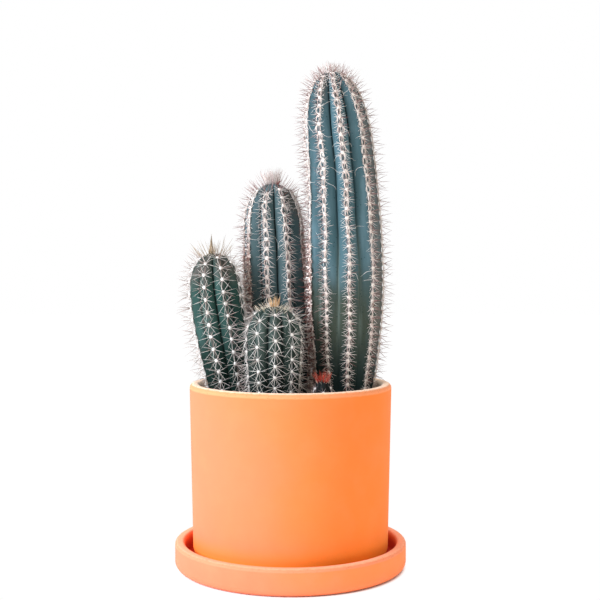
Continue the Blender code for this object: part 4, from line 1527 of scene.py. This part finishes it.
class CACTUS_OT_skins(bpy.types.Operator):
    """Grow the ribbed skins of the five stems"""

    bl_idname = "cactus.skins"
    bl_label = "Skins"

    def execute(self, context):
        for stem in STEMS:
            values = dict(zip(SKIN_INPUTS, SKINS[stem.name]))
            material = new_material(stem.slot + "_look", "rib_skin", values, **SKIN_SHADER)
            skin_piece(stem, context.scene.cactus_skin, material)
        return {"FINISHED"}


class CACTUS_OT_wool(bpy.types.Operator):
    """Set a wool pad with fine hairs on every areole"""

    bl_idname = "cactus.wool"
    bl_label = "Wool"

    def execute(self, context):
        coat = context.scene.cactus_coat
        for stem, spots, rng in dressed_stems(WOOL_SEED):
            pads = wool_pads(stem, spots, rng, coat.wool_size)
            hairs = wool_fibres(stem, spots, rng, coat.wool_hairs)
            fibre_piece(stem.name + "_wool", stem.looks[0], [pads, hairs])
        return {"FINISHED"}


class CACTUS_OT_spines(bpy.types.Operator):
    """Set every areole's spines"""

    bl_idname = "cactus.spines"
    bl_label = "Spines"

    def execute(self, context):
        scale = context.scene.cactus_coat.thickness
        for stem, spots, rng in dressed_stems(SPINE_SEED):
            parts = [coat_spines(stem, spots, coat, rng, scale) for coat in stem.coats]
            fibre_piece(stem.name + "_spines", stem.looks[1], parts)
            shaggy = spots[spots[:, SHAGGY] > 0]
            if len(shaggy):
                # The shaggy spines take the paler copy of the rosy spines' colours, painted light against the
                # shade of the other stems.
                parts = [coat_spines(stem, shaggy, coat, rng, scale) for coat in THATCH]
                fibre_piece(stem.name + "_thatch", "lit_thatch", parts)
        return {"FINISHED"}


class CACTUS_OT_hairs(bpy.types.Operator):
    """Lay the hairs that run along the crests and curl over the flanks"""

    bl_idname = "cactus.hairs"
    bl_label = "Hairs"

    def execute(self, context):
        for stem, spots, rng in dressed_stems(HAIR_SEED):
            if stem.braid:
                braid = braid_hairs(stem, spots, rng)
                fibre_piece(stem.name + "_hairs", "wool", [*braid, curly_hairs(stem, spots, rng)])
        return {"FINISHED"}


class CACTUS_OT_tufts(bpy.types.Operator):
    """Top each stem with its brush of new spines"""

    bl_idname = "cactus.tufts"
    bl_label = "Crown tufts"

    def execute(self, context):
        for stem in STEMS:
            rng = np.random.default_rng(TUFT_SEED)
            parts = [tuft_strands(stem, tuft, rng) for tuft in stem.tufts]
            if stem is LEFT:
                parts.append(crown_spike(stem, rng))
            if stem is MIDDLE:
                parts.append(dark_spine(stem))
            fibre_piece(stem.name + "_tuft", stem.looks[2], parts)
        return {"FINISHED"}


def add_light(name, place, size, power, colour):
    """A soft square light aimed at the stems."""
    light = bpy.data.lights.new(name, "AREA")
    light.size = size
    light.energy = power
    light.color = colour
    lamp = add_object(name, light)
    lamp.location = place
    lamp.rotation_euler = (Vector(LIGHT_TARGET) - Vector(place)).to_track_quat("-Z", "Y").to_euler()


def white_world(stage):
    """Soft light, stronger from above and behind, before a white backdrop."""
    world = bpy.data.worlds.new("white_studio")
    world.use_nodes = True
    tree = world.node_tree
    tree.nodes.clear()
    way = put(tree, "SeparateXYZ", {0: put(tree, "TexCoord").outputs["Generated"]}).outputs
    above = ramp(tree, way[2], 0, 1, stage.horizon, stage.horizon + stage.zenith)
    strength = plus(tree, above, ramp(tree, way[1], 0, 0.9, 0, stage.backdrop))
    light = put(tree, "Background", {"Color": (1, 0.985, 0.95, 1), "Strength": strength})
    backdrop = put(tree, "Background", {"Color": (1, 1, 1, 1), "Strength": 1.0})
    seen = put(tree, "LightPath").outputs["Is Camera Ray"]
    mix = put(tree, "MixShader", {0: seen, 1: light.outputs[0], 2: backdrop.outputs[0]})
    tree.links.new(mix.outputs[0], put(tree, "OutputWorld").inputs["Surface"])
    bpy.context.scene.world = world


def floor_material():
    """Pale floor; beyond the saucer's contact shadow the camera sees it as white as the backdrop."""
    material = bpy.data.materials.new("pale_floor")
    material.use_nodes = True
    tree = material.node_tree
    shader = tree.nodes["Principled BSDF"]
    place = object_place(tree)
    tint = mixed(tree, grain(tree, place, 3), (0.80, 0.80, 0.80, 1), (0.84, 0.84, 0.84, 1))
    tree.links.new(tint, shader.inputs["Base Color"])
    shader.inputs["Roughness"].default_value = 0.9
    shader.inputs["Emission Color"].default_value = (1, 1, 1, 1)
    away = put(tree, "VectorMath", {0: place, 1: SHADOW_CENTRE}, operation="DISTANCE").outputs["Value"]
    clear = ramp(tree, away, SHADOW_INNER, SHADOW_OUTER)
    tree.links.new(times(tree, clear, FLOOR_GLOW), shader.inputs["Emission Strength"])
    share = times(tree, clear, put(tree, "LightPath").outputs["Is Camera Ray"])
    white = put(tree, "Emission", {"Color": (1, 1, 1, 1), "Strength": FLOOR_WHITE})
    mix = put(tree, "MixShader", {0: share, 1: shader.outputs[0], 2: white.outputs[0]})
    tree.links.new(mix.outputs[0], tree.nodes["Material Output"].inputs["Surface"])
    return material


class CACTUS_OT_stage(bpy.types.Operator):
    """Set up the pale floor, the soft lights and the camera"""

    bl_idname = "cactus.stage"
    bl_label = "Stage"

    def execute(self, context):
        stage = context.scene.cactus_stage
        signs = ((-1, -1), (1, -1), (1, 1), (-1, 1))
        corners = [(x * FLOOR_HALF, y * FLOOR_HALF, FLOOR_LEVEL) for x, y in signs]
        mesh = bpy.data.meshes.new("floor")
        mesh.from_pydata(corners, [], [(0, 1, 2, 3)])
        floor = add_object("floor", mesh, floor_material())
        add_light("key", (-0.96, -0.60, 0.62), 0.55, stage.key_power, (0.95, 1, 1.13))
        add_light("fill", (0.95, -0.65, 0.45), 0.8, stage.fill_power, (1, 0.84, 0.60))
        white_world(stage)
        lens = bpy.data.cameras.new("camera")
        lens.lens = stage.lens
        lens.sensor_width = 36
        lens.shift_x, lens.shift_y = CAMERA_SHIFT
        camera = add_object("camera", lens)
        camera.location = CAMERA_PLACE
        camera.rotation_euler = (math.radians(90), 0, 0)
        context.scene.camera = camera
        context.scene.view_settings.view_transform = "Standard"
        return {"FINISHED"}


class CACTUS_PT_panel(bpy.types.Panel):
    """Steps and settings of the potted cactus"""

    bl_idname = "CACTUS_PT_panel"
    bl_label = "Potted Cactus"
    bl_space_type = "VIEW_3D"
    bl_region_type = "UI"
    bl_category = "Cactus"

    def draw(self, context):
        for operator in OPERATORS:
            self.layout.operator(operator.bl_idname)
        for name, kind in SETTINGS.items():
            box = self.layout.box()
            for prop in kind.__annotations__:
                box.prop(getattr(context.scene, name), prop)


SETTINGS = {"cactus_clay": ClaySettings, "cactus_skin": SkinSettings, "cactus_coat": CoatSettings,
            "cactus_stage": StageSettings}
OPERATORS = (CACTUS_OT_saucer, CACTUS_OT_pot, CACTUS_OT_soil, CACTUS_OT_skins, CACTUS_OT_wool,
             CACTUS_OT_spines, CACTUS_OT_hairs, CACTUS_OT_tufts, CACTUS_OT_stage)


def register():
    for kind in (*SETTINGS.values(), *OPERATORS, CACTUS_PT_panel):
        bpy.utils.register_class(kind)
    for name, kind in SETTINGS.items():
        setattr(bpy.types.Scene, name, PointerProperty(type=kind))


def unregister():
    for name in SETTINGS:
        delattr(bpy.types.Scene, name)
    for kind in (CACTUS_PT_panel, *reversed(OPERATORS), *SETTINGS.values()):
        bpy.utils.unregister_class(kind)


def main():
    register()
    for operator in OPERATORS:
        family, name = operator.bl_idname.split(".")
        getattr(getattr(bpy.ops, family), name)()


if __name__ == "__main__":
    main()
